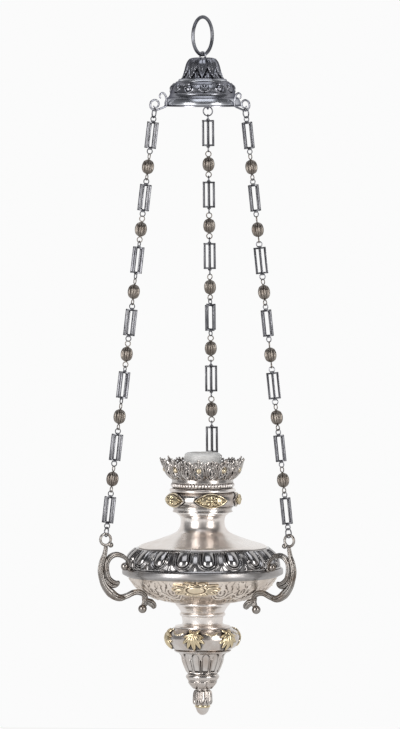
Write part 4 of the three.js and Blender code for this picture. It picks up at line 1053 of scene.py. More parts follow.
# %% Pierce the crown
CROWN_PAIRS, PAIR_COLUMNS, CROWN_DRAWN_RADIUS, CROWN_WALL = 9, 84, 48.0, 1.3
CROWN_RAIL, PEARL_HEIGHT, PEARL_GILT = 1.6, 17, 4.0
crown_line = smooth_line([(39.0, 119.8), (43.8, 123.2), (47.4, 127.6), (50.0, 133.9), (51.4, 139.1),
                          (53.2, 144.3), (58.0, 150.2)], 0.5)
PEARL_ARCH = [
    ([(-6.4, 0), (-7.0, 8), (-6.4, 16), (-4.6, 21.5), (0, 25), (4.6, 21.5), (6.4, 16), (7.0, 8), (6.4, 0)],
     1.0),
    ([(-5.2, 1), (-2.2, 7), (2.4, 12.5)], 0.75),
    ([(5.2, 1), (2.2, 7), (-2.4, 12.5)], 0.75),
    ([(0, PEARL_HEIGHT), (0, PEARL_HEIGHT + 0.2)], 3.2),
    ([(-3.4, 21.5), (-5.4, 25.5), (-4.2, 28.4), (-2.2, 27.4)], 0.85),
    ([(3.4, 21.5), (5.4, 25.5), (4.2, 28.4), (2.2, 27.4)], 0.85),
    ([(0, 24), (0, 29.5)], 1.8),
    ([(0, 29), (0, 32.4)], 1.0),
]
OVAL_SHELL = [
    ([(7.0 * math.sin(t), 13.4 - 12.0 * math.cos(t)) for t in np.linspace(0, math.tau, 25)], 0.95),
    ([(4.0 * math.sin(t), 13.4 - 7.6 * math.cos(t)) for t in np.linspace(0, math.tau, 19)], 0.7),
    ([(0, 11), (0, 16)], 1.5),
    ([(-4.6, 22.5), (-6.4, 26), (-4.4, 29), (-2.6, 27)], 0.9),
    ([(4.6, 22.5), (6.4, 26), (4.4, 29), (2.6, 27)], 0.9),
    ([(0, 25), (0, 29.8)], 1.3),
    ([(-4.2, 13.4), (-6.8, 13.4)], 0.6),
    ([(4.2, 13.4), (6.8, 13.4)], 0.6),
    ([(0, 1.4), (0, 6)], 0.8),
    ([(0, 20.8), (0, 25)], 0.8),
]
STEM = [([(0, 0), (0, 19)], 0.8), ([(0, 19), (0, 24.5)], 1.3), ([(0, 24), (0, 27)], 0.7)]


def crown_drawing():
    """Height above the cut edge, relief and gilding on the flat drawing of one arch and one shell."""
    y = length_along(crown_line)[None, :]
    half_pair = math.pi * CROWN_DRAWN_RADIUS / CROWN_PAIRS
    x = ((np.arange(PAIR_COLUMNS) / PAIR_COLUMNS) * 2 - 1)[:, None] * half_pair
    edge = np.broadcast_to(CROWN_RAIL - y, (PAIR_COLUMNS, y.shape[1])).copy()
    relief = np.zeros_like(edge)
    for motif, places in ((PEARL_ARCH, (0,)), (OVAL_SHELL, (-half_pair, half_pair)),
                          (STEM, (-half_pair / 2, half_pair / 2))):
        for centre in places:
            for points, width in motif:
                far = line_far(x - centre, y, points)
                edge = np.maximum(edge, width + 0.35 - far)
                rounded = np.sqrt(np.clip(1 - (far / width) ** 2, 0, 1))
                relief = np.maximum(relief, 1.5 * min(width, 1.8) * rounded)
    gold = np.hypot(x, y - PEARL_HEIGHT) < PEARL_GILT
    return edge, relief, gold.astype(float)


def pierced_crown():
    """The flat drawing repeated round the crown, without the faces that lie outside its lines."""
    edge, relief, gold = (np.tile(part, (CROWN_PAIRS, 1)) for part in crown_drawing())
    columns, rows = edge.shape
    slope_u = (np.roll(edge, -1, 0) - np.roll(edge, 1, 0)) / 2
    slope_v = np.gradient(edge, axis=1)
    steep = slope_u**2 + slope_v**2 + 1e-6
    beside = np.abs(edge) < 0.8 * np.sqrt(steep)
    shift_u = np.where(beside, np.clip(-edge * slope_u / steep, -0.5, 0.5), 0)
    shift_v = np.where(beside, np.clip(-edge * slope_v / steep, -0.5, 0.5), 0)
    u = (np.arange(columns)[:, None] + shift_u) / columns * math.tau + math.pi / CROWN_PAIRS
    v = np.clip(np.arange(rows)[None, :] + shift_v, 0, rows - 1)
    radius = np.interp(v, np.arange(rows), crown_line[:, 0]) + relief * 0.8
    height = np.interp(v, np.arange(rows), crown_line[:, 1]) - relief * 0.4
    places = np.stack([radius * np.sin(u), -radius * np.cos(u), height + body_level], -1).reshape(-1, 3)
    faces = grid_faces(columns, rows, loop_rows=False)
    kept = faces[edge.reshape(-1)[faces].mean(1) > 0]
    mesh = new_mesh("crown", places, kept)
    put_attribute(mesh, "gilt", gold.reshape(-1))
    drop_loose(mesh)
    return mesh


crown_wall = thickened(pierced_crown(), CROWN_WALL)
foot_line = outline([(36.4, 115), (39.4, 115)], [(40.0, 116), (39.7, 120), (40.4, 121.2)], [(36.4, 121.2)],
                    [(36.4, 115)], spacing=0.6)[:-1]
crown_foot = turned(foot_line, crown_silver, body_level, segments=160)
age(crown_wall, strength=2.6, spread=2, extra=0.16)
crown = joined(crown_wall, crown_foot)
print("crown faces", len(crown.polygons))
mount_piece("pierced_crown", crown, crown_silver, "lamp_body", "old_silver", "crown_gallery")

# %% [markdown]
# ## Beaded collar
# Under the crown runs a row of 58 small beads over a plain moulding. One bead is made, and the ring tree
# repeats it. The groove that the beads stand in has kept its tarnish.

# %% Turn the collar and set its beads
COLLAR_BEADS, COLLAR_RADIUS, COLLAR_MIDDLE, COLLAR_GROOVE = 58, 39.6, 112.2, 108.4
COLLAR_BEAD_SIZE = (2.05, 2.0, 2.6)
collar_line = outline([(38.8, 102.6), (40.4, 102.8)], [(42.4, 103.6), (43.1, 105.4), (42.2, 107.4)],
                      [(38.8, 108.6)], [(38.6, 109.6)], [(38.5, 114.6)], [(36.6, 114.8)], [(36.6, 102.6)],
                      [(38.8, 102.6)], spacing=0.6)[:-1]
collar_base = turned(collar_line, silver_plate, body_level, segments=160)


def small_bead():
    """One bead of the collar in its place at the front."""
    def change(work):
        bmesh.ops.create_uvsphere(work, u_segments=10, v_segments=7, radius=1)
        for vertex in work.verts:
            x, y, z = (part * size for part, size in zip(vertex.co, COLLAR_BEAD_SIZE))
            vertex.co = (x * MM, (y - COLLAR_RADIUS) * MM, (z + COLLAR_MIDDLE + body_level) * MM)
    return edited(bpy.data.meshes.new("bead"), change)


beads = run_tree(RING, small_bead(), count=COLLAR_BEADS, material=silver_plate)
age(beads, extra=-0.1)
collar_height = places_of(collar_base)[:, 2] / MM - body_level
age(collar_base, strength=1.2, extra=np.where(collar_height > COLLAR_GROOVE, 0.2, -0.06))
mount_piece("beaded_ring", joined(collar_base, beads), silver_plate, "lamp_body", "old_silver",
            "beaded_collar")

# %% [markdown]
# ## Upper knop
# Five almond-shaped cartouches swell out of the knop. Each has a bright frame, and a gilt ground with a
# flower of eight petals between two sprays of leaves.

# %% Chase the upper knop
KNOP_FLOWERS, KNOP_FIRST, KNOP_RADIUS, KNOP_MIDDLE = 5, 20, 48, 93.4
ALMOND_HALF, ALMOND_TALL, PETALS = 24, 9.6, 8
KNOP_LEAVES = [((6, 0), (18.5, 0.4), 1.7), ((6.5, 1.0), (13.5, 5.2), 1.5), ((6.5, -1.0), (13.5, -5.2), 1.5),
               ((10.5, 1.5), (17.2, 3.0), 1.0), ((10.5, -1.5), (17.2, -3.0), 1.0)]


def almond(x, y, length, half_height):
    """How far inside an almond shape a place is, in millimetres."""
    big = (length**2 + half_height**2) / (2 * half_height)
    return big - np.hypot(x, np.abs(y) + big - half_height)


def knop_place(angle, height):
    """A place on the knop, in millimetres from the middle of the nearest cartouche."""
    x = around(angle, KNOP_FLOWERS, KNOP_FIRST) * math.pi * KNOP_RADIUS / KNOP_FLOWERS
    return x, (height - KNOP_MIDDLE) * 1.12


def knop_flowers(angle, radius, height):
    x, y = knop_place(angle, height)
    inside = almond(x, y, ALMOND_HALF, ALMOND_TALL)
    swell = 3.0 * ease(-1.5, 4.5, inside)
    frame_line = 1.2 * ridge(inside, 0.9, 0.75) - 0.8 * ridge(inside, 2.6, 0.6)
    far, way = np.hypot(x, y), np.arctan2(y, x)
    petals = 1.3 * (0.5 + 0.5 * np.cos(PETALS * way)) * ease(1.6, 2.6, far) * (1 - ease(5.4, 6.4, far))
    heart = boss(x, y, (0, 0), (1.9, 1.9), 1.8) + 0.5 * ridge(far, 2.5, 0.4)
    sprays = np.maximum(spray(x, y, KNOP_LEAVES, 1.3), spray(-x, y, KNOP_LEAVES, 1.3))
    chasing = np.maximum(np.maximum(petals, heart), sprays) - 0.5
    return swell + frame_line + chasing * ease(1.8, 3.2, inside)


def knop_gilding(angle, radius, height):
    x, y = knop_place(angle, height)
    return ease(0.4, 1.8, almond(x, y, ALMOND_HALF, ALMOND_TALL))


knop_side = outline([(39, 77.0), (39, 78.0)], [(38.3, 79.4), (38.4, 82.4)], [(39.9, 83.1), (39.4, 84.4)],
                    [(43.2, 86.0), (46.0, 89.4), (46.8, 94.0), (45.4, 98.8), (42.0, 101.4)],
                    [(40.8, 102.4)], spacing=0.5)
knop_inside = outline([(40.8, 102.4), (37.2, 102.4)], [(37.2, 80)], [(3.4, 80)], [(3.4, 77)], [(39, 77)],
                      spacing=3)
knop = chased(knop_side, knop_inside[1:-1], columns=720, relief=knop_flowers, gilding=knop_gilding,
              level=body_level, depth=0.8, strength=1.4, spread=2)
mount_piece("flower_knop", knop, knop_silver, "lamp_body", "parcel_gilt", "upper_knop")

# %% [markdown]
# ## Neck
# The neck is plain spun silver, burnished bright, with one soft curve from the shoulder up to a ring under
# the knop. The lathe tree makes it from its outline.

# %% Spin the neck
neck_line = outline([(79, 30.3), (83, 30.3)], [(83.4, 31.4), (82.4, 32.4)], [(81.6, 32.8)], [(78, 34.6),
                     (62.4, 39.4), (49.4, 44.0), (40.3, 47.6), (33.8, 51.4), (29.9, 57), (28.6, 63),
                     (28.9, 68.6), (30.6, 72.6)], [(32.4, 73.6), (32.4, 74.8)], [(34.6, 75.4),
                     (34.8, 76.8)], [(26.8, 76.8)], [(26.8, 50), (45, 39.5), (79, 30.3)], spacing=0.8)[:-1]
neck = turned(neck_line, silver_plate, body_level, segments=160, extra=-0.1, strength=1.4)
mount_piece("spun_neck", neck, silver_plate, "lamp_body", "old_silver", "neck", sharp=40)

# %% [markdown]
# ## Gadrooned shoulder
# Eighteen lobes like drops lie round the shoulder, points up. Each is a smooth boss with two raised lines
# round it, and a small leaf stands between each two near the band.

# %% Chase the shoulder
GADROONS, GADROON_FIRST = 18, 10
SHOULDER_RUN, SHOULDER_START, SHOULDER_EDGES = 28.4, 2.6, 4.6
LOBE_SPINE, LOBE_HALF, LOBE_RISE, LOBE_LINES = 14.8, 9.4, 4.4, (11.2, 13.8)
LINE_RISE, TONGUE_TALL = 1.5, 9.5
shoulder_side = outline([(101.6, 4.1), (102.3, 5.0), (101.2, 6.2)], [(98.9, 14.3), (93.6, 22.6),
                         (86.8, 28.9)], [(87.0, 29.9), (85.4, 30.1)], spacing=0.6)
shoulder_run = length_along(shoulder_side)
shoulder_share = (shoulder_run - SHOULDER_START) / (shoulder_run[-1] - SHOULDER_EDGES)


def gadroons(angle, radius, height):
    """Drops, the two lines round each, and a small leaf between each two."""
    share = shoulder_share[None, :]
    y = share * SHOULDER_RUN
    pitch = math.pi * radius / GADROONS
    x = np.abs(around(angle, GADROONS, GADROON_FIRST)) * pitch
    between = np.abs(around(angle, GADROONS, GADROON_FIRST + 180 / GADROONS)) * pitch
    up = np.clip(share, 0, 1)
    below = np.maximum(LOBE_SPINE - y, 0)
    drop = np.hypot(x * (1 + 0.35 * up), below) / LOBE_HALF
    lobe = LOBE_RISE * np.clip(1 - drop**2, 0, 1) ** 0.6 * (1 - 0.35 * up)
    far = np.hypot(x * (1 + 0.2 * up), below)
    lines = sum(LINE_RISE * ridge(far, line, 0.75) for line in LOBE_LINES)
    tongue_half = 3.0 * np.clip(1 - y / TONGUE_TALL, 0, 1) + 1e-3
    tongue = LINE_RISE * np.clip(1 - (between / tongue_half) ** 2, 0, 1) * (y < TONGUE_TALL)
    fade = ease(0.0, 0.04, share) * (1 - ease(0.96, 1.0, share))
    return (np.maximum(np.maximum(lobe, lines), tongue) - 0.9) * fade


shoulder_inside = outline([(85.4, 30.1), (78, 30.1)], [(78, 28.3)], [(88, 19), (97.8, 4.1)], [(101.6, 4.1)],
                          spacing=3)
shoulder = chased(shoulder_side, shoulder_inside[1:-1], columns=1080, relief=gadroons, level=body_level,
                  depth=0.45, strength=1.3, spread=2)
# The shoulder takes the darker grey silver, which is painted shade.
mount_piece("lobed_shoulder", shoulder, shoulder_silver, "lamp_body", "old_silver", "gadrooned_shoulder")

# %% Turn the band
band_line = outline([(95.2, -7.2), (97.6, -7.2)], [(98.9, -6.9), (99.6, -6.0)], [(101.2, -5.4)],
                    [(102.4, -5.0), (102.8, -4.2)], [(104.2, -4.0)], [(104.75, -3.0), (104.9, -0.4),
                     (104.7, 2.4), (104.0, 3.5)], [(102.9, 3.9)], [(95.2, 3.9)], [(95.2, -7.2)],
                    spacing=0.6)[:-1]
# The band takes the darker grey silver, which is painted shade.
band = turned(band_line, band_silver, body_level, segments=192)
mount_piece("widest_band", band, band_silver, "lamp_body", "old_silver", "rim_band", sharp=40)

# %% [markdown]
# ## Bowl
# The bowl's side is chased with scrolling foliage on a matted ground. Between the arms sit three gilt
# cartouches, which are plates of their own.

# %% Chase the bowl
BOWL_PATTERNS, BOWL_RADIUS = 3, 84
FOLIAGE_FOOT, FOLIAGE_SHARE = 16, 0.72
SCROLL_WIDTH, SCROLL_RISE, FOLIAGE_LEAF, FOLIAGE_RISE = 1.35, 1.25, 2.8, 1.1
bowl_side = outline([(36.4, -41.8), (45.5, -40.2), (58.5, -37.2), (67.6, -33.4), (78, -28.0), (85.8, -22.1),
                     (92.3, -14.6), (96.6, -8.6)], [(97.6, -7.4)], spacing=0.7)
bowl_up = length_along(bowl_side)


def spiral(centre, size, start, turns, steps=22):
    angle = math.radians(start) + np.linspace(0, math.tau * turns, steps)
    radius = size * np.linspace(1, 0.22, steps)
    return [(centre[0] + r * math.cos(a), centre[1] + r * math.sin(a)) for r, a in zip(radius, angle)]


SCROLLS = [spiral((33, 42), 9.5, 200, 1.3), spiral((49, 33), 8.0, 20, 1.2), spiral((62, 43), 8.5, 200, 1.3),
           spiral((76, 34), 7.5, 20, 1.2), [(22, 36), (26, 30), (34, 29), (42, 33)],
           [(41, 33), (50, 43), (54, 45)], [(56, 32), (64, 31), (70, 36)]]
BOWL_LEAVES = [((36, 30), (30, 22)), ((40, 34), (43, 24)), ((52, 42), (47, 50)), ((56, 32), (58, 23)),
               ((66, 32), (64, 24)), ((44, 45), (40, 51)), ((68, 46), (72, 52)), ((26, 45), (23, 52)),
               ((33, 44), (33, 54)), ((56, 46), (60, 55)), ((49, 30), (50, 21)), ((74, 40), (82, 47)),
               ((74, 30), (72, 21)), ((26, 33), (21, 24)), ((62, 48), (52, 55)), ((38, 50), (45, 56))]


def foliage(angle, radius, height):
    """Scrolls and leaves that mirror about each cartouche, on a matted ground."""
    y = FOLIAGE_FOOT + FOLIAGE_SHARE * (bowl_up[None, :] - FOLIAGE_FOOT)
    x = np.abs(around(angle, BOWL_PATTERNS)) * math.pi * BOWL_RADIUS / BOWL_PATTERNS
    raised = spray(x, y, [(foot, tip, FOLIAGE_LEAF) for foot, tip in BOWL_LEAVES], FOLIAGE_RISE)
    for line in SCROLLS:
        raised = np.maximum(raised, cord_line(x, y, line, SCROLL_WIDTH, SCROLL_RISE))
    ground = 0.22 * np.sin(x * 3.1 + 2 * np.sin(y * 1.3)) * np.sin(y * 3.3 + 2 * np.sin(x * 1.1))
    fade = ease(14, 20, y) * (1 - ease(55.6, 56.8, y))
    return (np.where(raised > 0.05, raised, ground) - 0.35) * fade


bowl_inside = outline([(97.6, -7.4), (95.4, -7.4)], [(84, -20), (60, -34.5), (38, -38.8)], [(3.4, -38.8)],
                      [(3.4, -41.8)], [(36.4, -41.8)], spacing=3)
bowl = chased(bowl_side, bowl_inside[1:-1], columns=640, relief=foliage, level=body_level, depth=0.6,
              strength=1.3, spread=2)
mount_piece("chased_bowl", bowl, bowl_silver, "lamp_body", "old_silver", "bowl")

# %% [markdown]
# A cartouche is a long oval plate bent to the bowl: a smooth shield in the middle, a rolled strap round it,
# and a spray of leaves at each end. All of it is gilt, with brown in the hollows.

# %% Make the gilt cartouches
PLATE_HALF, PLATE_TALL, PLATE_RADIUS, PLATE_STRETCH = 32.0, 12.2, 89.3, 1.32
PLATE_WALL, PLATE_LIFT, PLATE_POWER = 1.1, 1.2, 2.6
PLATE_LEAVES = [((11, 0), (22, 0), 2.2), ((11, 2), (19, 6.5), 2.0), ((11, -2), (19, -6.5), 2.0),
                ((8, 6), (12, 10.6), 1.6), ((8, -6), (12, -10.6), 1.6)]
PLATE_PEARLS = [(0, 9.6), (0, -9.6), (5, 9.2), (-5, 9.2), (5, -9.2), (-5, -9.2)]


def cartouche():
    """One plate in its place at the front, bent to the bowl and cut to a wavy oval."""
    columns, rows = 150, 84
    x = np.linspace(-PLATE_HALF, PLATE_HALF, columns)[:, None]
    y = np.linspace(-PLATE_TALL, PLATE_TALL, rows)[None, :]
    wave = 1.1 * np.cos(np.arctan2(y * 2.4, x) * 10)
    full = np.abs(x / (PLATE_HALF - 1.4)) ** PLATE_POWER + np.abs(y / (PLATE_TALL - 1.2)) ** PLATE_POWER
    edge = (1 - full ** (1 / PLATE_POWER)) * 10 + wave
    u = x / PLATE_STRETCH
    shield = boss(u, y, (0, 0), (8.5, 6.0), 2.6)
    strap = 1.5 * ridge(np.hypot(u / 1.45, y), 7.6, 0.8)
    pearls = [boss(u, y, point, (1.5, 1.6), 1.4) for point in PLATE_PEARLS]
    sprays = [spray(side * u, y, PLATE_LEAVES, 1.7) for side in (-1, 1)]
    lift = PLATE_LIFT + np.maximum.reduce([shield, strap, *pearls, *sprays])
    along = np.interp(PLATE_RADIUS, bowl_side[:, 0], bowl_up) + y
    radius = np.interp(along, bowl_up, bowl_side[:, 0])
    height = np.interp(along, bowl_up, bowl_side[:, 1])
    slope = unit_along(bowl_side)
    out_r = np.interp(along, bowl_up, slope[:, 1])
    out_h = -np.interp(along, bowl_up, slope[:, 0])
    angle = x / PLATE_RADIUS
    r = radius + lift * out_r
    h = height + lift * out_h
    places = np.stack([r * np.sin(angle), -r * np.cos(angle), h + body_level], -1).reshape(-1, 3)
    faces = grid_faces(columns, rows, loop_columns=False, loop_rows=False)
    plate = new_mesh("plate", places, faces[edge.reshape(-1)[faces].mean(1) > 0])
    drop_loose(plate)
    solid = thickened(plate, PLATE_WALL)
    face_outwards(solid)
    age(solid, strength=2.6, spread=2, extra=0.1)
    put_attribute(solid, "gilt", np.ones(len(solid.vertices)))
    return solid


plate_pattern = cartouche()
for number, azimuth in enumerate(CHAIN_AZIMUTHS, 1):
    plate = moved(plate_pattern.copy(), about_z(azimuth + BETWEEN_ARMS + 90))
    mount_piece(f"gilt_cartouche_{number}", plate, silver_plate, "lamp_body", "parcel_gilt",
                f"bowl_cartouche_{number}")

# %% [markdown]
# ## Lower stem and knop
# The stem is turned and burnished. The knop below it carries six gilt palmettes that hang like shells, and
# small swags between their heads.

# %% Turn the stem
stem_line = outline([(24.2, -42.0), (35.1, -42.0)], [(35.0, -44.0), (32.2, -47.2), (29.9, -50.7),
                     (28.2, -54.0)], [(29.2, -54.8)], [(29.8, -56.4), (29.2, -58.2)], [(27.4, -59.0)],
                    [(26.6, -63.0), (26.2, -67.4)], [(26.0, -67.4)], [(27.2, -69.4), (31.2, -70.8)],
                    [(35.4, -71.6), (36.5, -73.0), (36.2, -74.2)], [(24.2, -74.2)], [(24.2, -42.0)],
                    spacing=0.6)[:-1]
stem = turned(stem_line, silver_plate, body_level, segments=128, extra=-0.1, strength=1.4)
mount_piece("turned_stem", stem, silver_plate, "lamp_body", "old_silver", "lower_stem", sharp=40)

# %% Chase the lower knop
PALMETTES, PALMETTE_FIRST, PALMETTE_RADIUS = 6, -9, 46
PALMETTE_HEAD, PALMETTE_SPREAD = -80.6, 1.22
SWAG_RADIUS, SWAG_HEAD, SWAG_HALF = 44, -80.2, 8.5
PALMETTE_LEAVES = [((0, 0), (0, -19.5), 2.7), ((0.8, -1), (7.2, -16.5), 2.4), ((1.2, -1), (11.6, -10.8), 2.2),
                   ((1.2, 0), (11.2, -3.4), 1.9), ((0.6, 0.6), (6.4, 4.6), 1.8)]


def lower_place(angle, height):
    """A place on the lower knop, in millimetres from the head of the nearest palmette."""
    x = around(angle, PALMETTES, PALMETTE_FIRST) * math.pi * PALMETTE_RADIUS / PALMETTES
    return np.abs(x) / PALMETTE_SPREAD, (height - PALMETTE_HEAD) * 0.98


def palmette_height(angle, height):
    x, y = lower_place(angle, height)
    return np.maximum(boss(x, y, (0, 1.2), (2.2, 2.6), 2.4), spray(x, y, PALMETTE_LEAVES, 2.2))


def swag_height(angle, height):
    x = around(angle, PALMETTES, PALMETTE_FIRST + 180 / PALMETTES) * math.pi * SWAG_RADIUS / PALMETTES
    y = (height - SWAG_HEAD) * 1.05
    hang = 0.9 * ridge(y + 1.2 - 0.045 * x**2, 0, 1.1) * (np.abs(x) < SWAG_HALF)
    beads_on = 0.5 + 0.5 * np.cos(x * 2.1)
    return hang * (0.6 + 0.6 * beads_on)


def palmettes(angle, radius, height):
    raised = palmette_height(angle, height)
    x, y = lower_place(angle, height)
    swell = 1.1 * np.clip(1 - (x / 11) ** 2 - ((y + 7) / 12) ** 2, 0, 1)
    return np.maximum(raised, swag_height(angle, height)) + swell


def palmette_gilding(angle, radius, height):
    full_gilt = ease(0.15, 0.5, palmette_height(angle, height))
    return np.maximum(full_gilt, 0.8 * ease(0.2, 0.5, swag_height(angle, height)))


lower_side = outline([(35.8, -103.0), (35.9, -103.0)], [(40.6, -100.1), (45.4, -94.9), (47.6, -88.6),
                      (47.2, -83.2), (44.6, -78.2), (39.6, -75.2)], [(38.6, -74.4)], spacing=0.5)
lower_inside = outline([(38.6, -74.4), (34, -74.4)], [(34, -101.2)], [(3.4, -101.2)], [(3.4, -103.0)],
                       [(35.8, -103.0)], spacing=3)
lower = chased(lower_side, lower_inside[1:-1], columns=720, relief=palmettes, gilding=palmette_gilding,
               level=body_level, depth=0.45, strength=1.4, spread=2)
mount_piece("palmette_knop", lower, knop_silver, "lamp_body", "parcel_gilt", "lower_knop")

# %% [markdown]
# ## Fluted calyx, leaf cone and finial
# Twelve hollow flutes with round heads narrow towards a turned ring, each in a raised rim. Under it come a
# cone of leaves, a cup of leaves that hang, a gilt ring and the smooth tip.

# %% Chase the calyx
CALYX_FLUTES, FLUTE_FOOT, FLUTE_HEAD = 12, -133.0, -107.0
calyx_side = outline([(36.6, -103.2), (37.2, -104.2), (35.2, -105.6)], [(31.0, -107.4), (28.0, -111.8),
                      (25.8, -119.6), (23.0, -126.8), (20.2, -133.0)], [(19.0, -134.2)], [(21.2, -136.0),
                      (21.9, -138.4), (20.9, -140.4)], [(19.8, -141.8)], spacing=0.5)
calyx_inside = outline([(19.8, -141.8), (15.9, -141.8)], [(15.9, -103.2)], [(36.6, -103.2)], spacing=3)


def calyx_flutes(angle, radius, height):
    """Hollow flutes with round heads, each in a raised rim, with a fine groove between two rims."""
    x = np.abs(around(angle, CALYX_FLUTES, 180 / CALYX_FLUTES))
    half = math.pi * radius / CALYX_FLUTES
    head = FLUTE_HEAD - half * (1 - np.sqrt(np.clip(1 - (x / 0.8) ** 2, 0, 1)))
    inside = ease(0, 1.0, head - height) * ease(0, 1.6, height - FLUTE_FOOT)
    hollow = -2.4 * np.sqrt(np.clip(1 - (x / 0.74) ** 2, 0, 1)) * inside
    rim = 0.7 * ridge(x, 0.82, 0.07) * inside
    groove = -0.9 * ridge(x, 1, 0.07) * ease(0, 2.0, FLUTE_HEAD - height) * inside
    return hollow + rim + groove


calyx = chased(calyx_side, calyx_inside[1:-1], columns=600, relief=calyx_flutes, level=body_level, depth=0.5,
               strength=1.6, spread=2)
mount_piece("fluted_cup", calyx, knop_silver, "lamp_body", "old_silver", "fluted_calyx")

# %% Chase the cone and the finial
FINIAL_LEAVES = 8


def hanging_leaves(head, foot, rise):
    """Leaves side by side that point down, with a second row showing between their points."""
    def relief(angle, radius, height):
        share = (height - foot) / (head - foot)
        x = around(angle, FINIAL_LEAVES)
        back = around(angle, FINIAL_LEAVES, 180 / FINIAL_LEAVES)
        half = np.clip(ease(-0.1, 0.55, share), 0.001, 2)
        far = np.abs(x) / half
        front = rise * (1 - 0.5 * far**2) - rise * 0.5 * ridge(x, 0, 0.12)
        ribs = 0.25 * rise * np.cos(far * 11)
        rear = rise * 0.4 * np.clip(1 - (np.abs(back) / 0.3) ** 2, 0, 1)
        fade = ease(0, 0.06, share) * (1 - ease(0.93, 1, share))
        return np.where(far < 1, front + ribs, rear - rise * 0.4) * fade
    return relief


cone_side = outline([(18.9, -142.0), (19.3, -143.0), (18.2, -144.2)], [(15.8, -147.8), (12.5, -151.6),
                     (10.4, -154.4)], spacing=0.4)
cone_inside = outline([(10.4, -154.4), (3.4, -154.4)], [(3.4, -142.0)], [(18.9, -142.0)], spacing=3)
cone = chased(cone_side, cone_inside[1:-1], columns=256, relief=hanging_leaves(-144, -154.2, 1.3),
              level=body_level, depth=0.4, strength=1.3, spread=2)
mount_piece("leaf_cone", cone, knop_silver, "lamp_body", "old_silver", "acanthus_cone")

cup_side = outline([(9.6, -154.6), (9.6, -156.0)], [(11.0, -159.6), (11.6, -165.4), (11.7, -171.4),
                    (10.9, -174.2)], [(10.0, -175.2)], spacing=0.4)
cup_inside = outline([(10.0, -175.2), (3.4, -175.2)], [(3.4, -154.6)], [(9.6, -154.6)], spacing=3)
cup = chased(cup_side, cup_inside[1:-1], columns=256, relief=hanging_leaves(-155.4, -175.0, 1.2),
             level=body_level, depth=0.4, strength=1.3, spread=2)
mount_piece("leaf_cup", cup, knop_silver, "lamp_body", "old_silver", "finial_cup")

tip_line = outline([(0, -188.4), (3.2, -187.6), (6.6, -184.6), (8.6, -180.4), (9.0, -178.4)],
                   [(9.7, -178.0)], [(10.2, -176.8), (9.7, -175.4)], [(3.4, -175.4)], [(3.4, -183.8)],
                   [(0, -183.8)], spacing=0.5)
tip = turned(tip_line, knop_silver, body_level, segments=96, closed=False)
GILT_RING_FOOT = -178.3
tip_height = places_of(tip)[:, 2] / MM - body_level
put_attribute(tip, "gilt", (tip_height > GILT_RING_FOOT).astype(float))
mount_piece("smooth_tip", tip, knop_silver, "lamp_body", "parcel_gilt", "finial_tip")

# %% [markdown]
# ## Scroll arms
# An arm is cast in one: a stem from the chain's eye down round the belly to the bowl, an inner scroll, a
# sheath and a leaf over the bend, a lobe at the foot, and small balls at the ends. Each strand is swept along
# its path in the arm's own plane, with fine grooves between the ridges that run along it.

# %% Cast an arm
STRAND_SIDES, STRAND_RIDGES, GROOVE_SHARE = 36, 6, 0.2
ARM_EYE_X, ARM_EYE_Z, ARM_EYE_RADIUS, ARM_EYE_WIRE = 137.906, 44.756, 7.3, 1.7
VOLUTE_X, VOLUTE_Z = 110.6, 8.9


def strand(points, widths, flat=0.9):
    """A tapering bar along points (radius, height), with rounded ends and grooves between its ridges."""
    line = smooth_line(points, 0.9)
    length = length_along(line)
    share = length / length[-1]
    width = np.interp(share, np.linspace(0, 1, len(widths)), widths)
    ends = np.minimum(share, 1 - share) * length[-1]
    width = width * np.sqrt(np.clip(1 - (1 - np.clip(ends / np.maximum(width, 0.1), 0, 1)) ** 2, 0.02, 1))
    along = unit_along(line)
    across = np.column_stack([-along[:, 1], along[:, 0]])
    angle = np.arange(STRAND_SIDES) * math.tau / STRAND_SIDES
    cut = 1 - GROOVE_SHARE * np.clip(np.cos(STRAND_RIDGES * (angle + math.pi / 2)), 0, 1) ** 2
    in_plane = (width[:, None] * np.cos(angle) * cut)[:, :, None] * across[:, None, :]
    sideways = width[:, None] * np.sin(angle) * cut * flat
    outwards, upwards = line[:, None, 0] + in_plane[:, :, 0], line[:, None, 1] + in_plane[:, :, 1]
    places = np.stack([outwards, sideways, upwards], -1).reshape(-1, 3)
    rows = len(line)
    faces = grid_faces(rows, STRAND_SIDES, loop_columns=False).tolist()
    faces += [list(range(STRAND_SIDES)), list(range((rows - 1) * STRAND_SIDES, rows * STRAND_SIDES))]
    places[:, 2] += body_level
    mesh = bpy.data.meshes.new("strand")
    mesh.from_pydata((places * MM).tolist(), [], faces)
    face_outwards(mesh)
    return mesh


def ball(radius, x, z, squash=1.0):
    def change(work):
        bmesh.ops.create_uvsphere(work, u_segments=20, v_segments=12, radius=radius * MM)
        for vertex in work.verts:
            vertex.co = (vertex.co.x + x * MM, vertex.co.y * squash, vertex.co.z + (z + body_level) * MM)
    return edited(bpy.data.meshes.new("ball"), change)


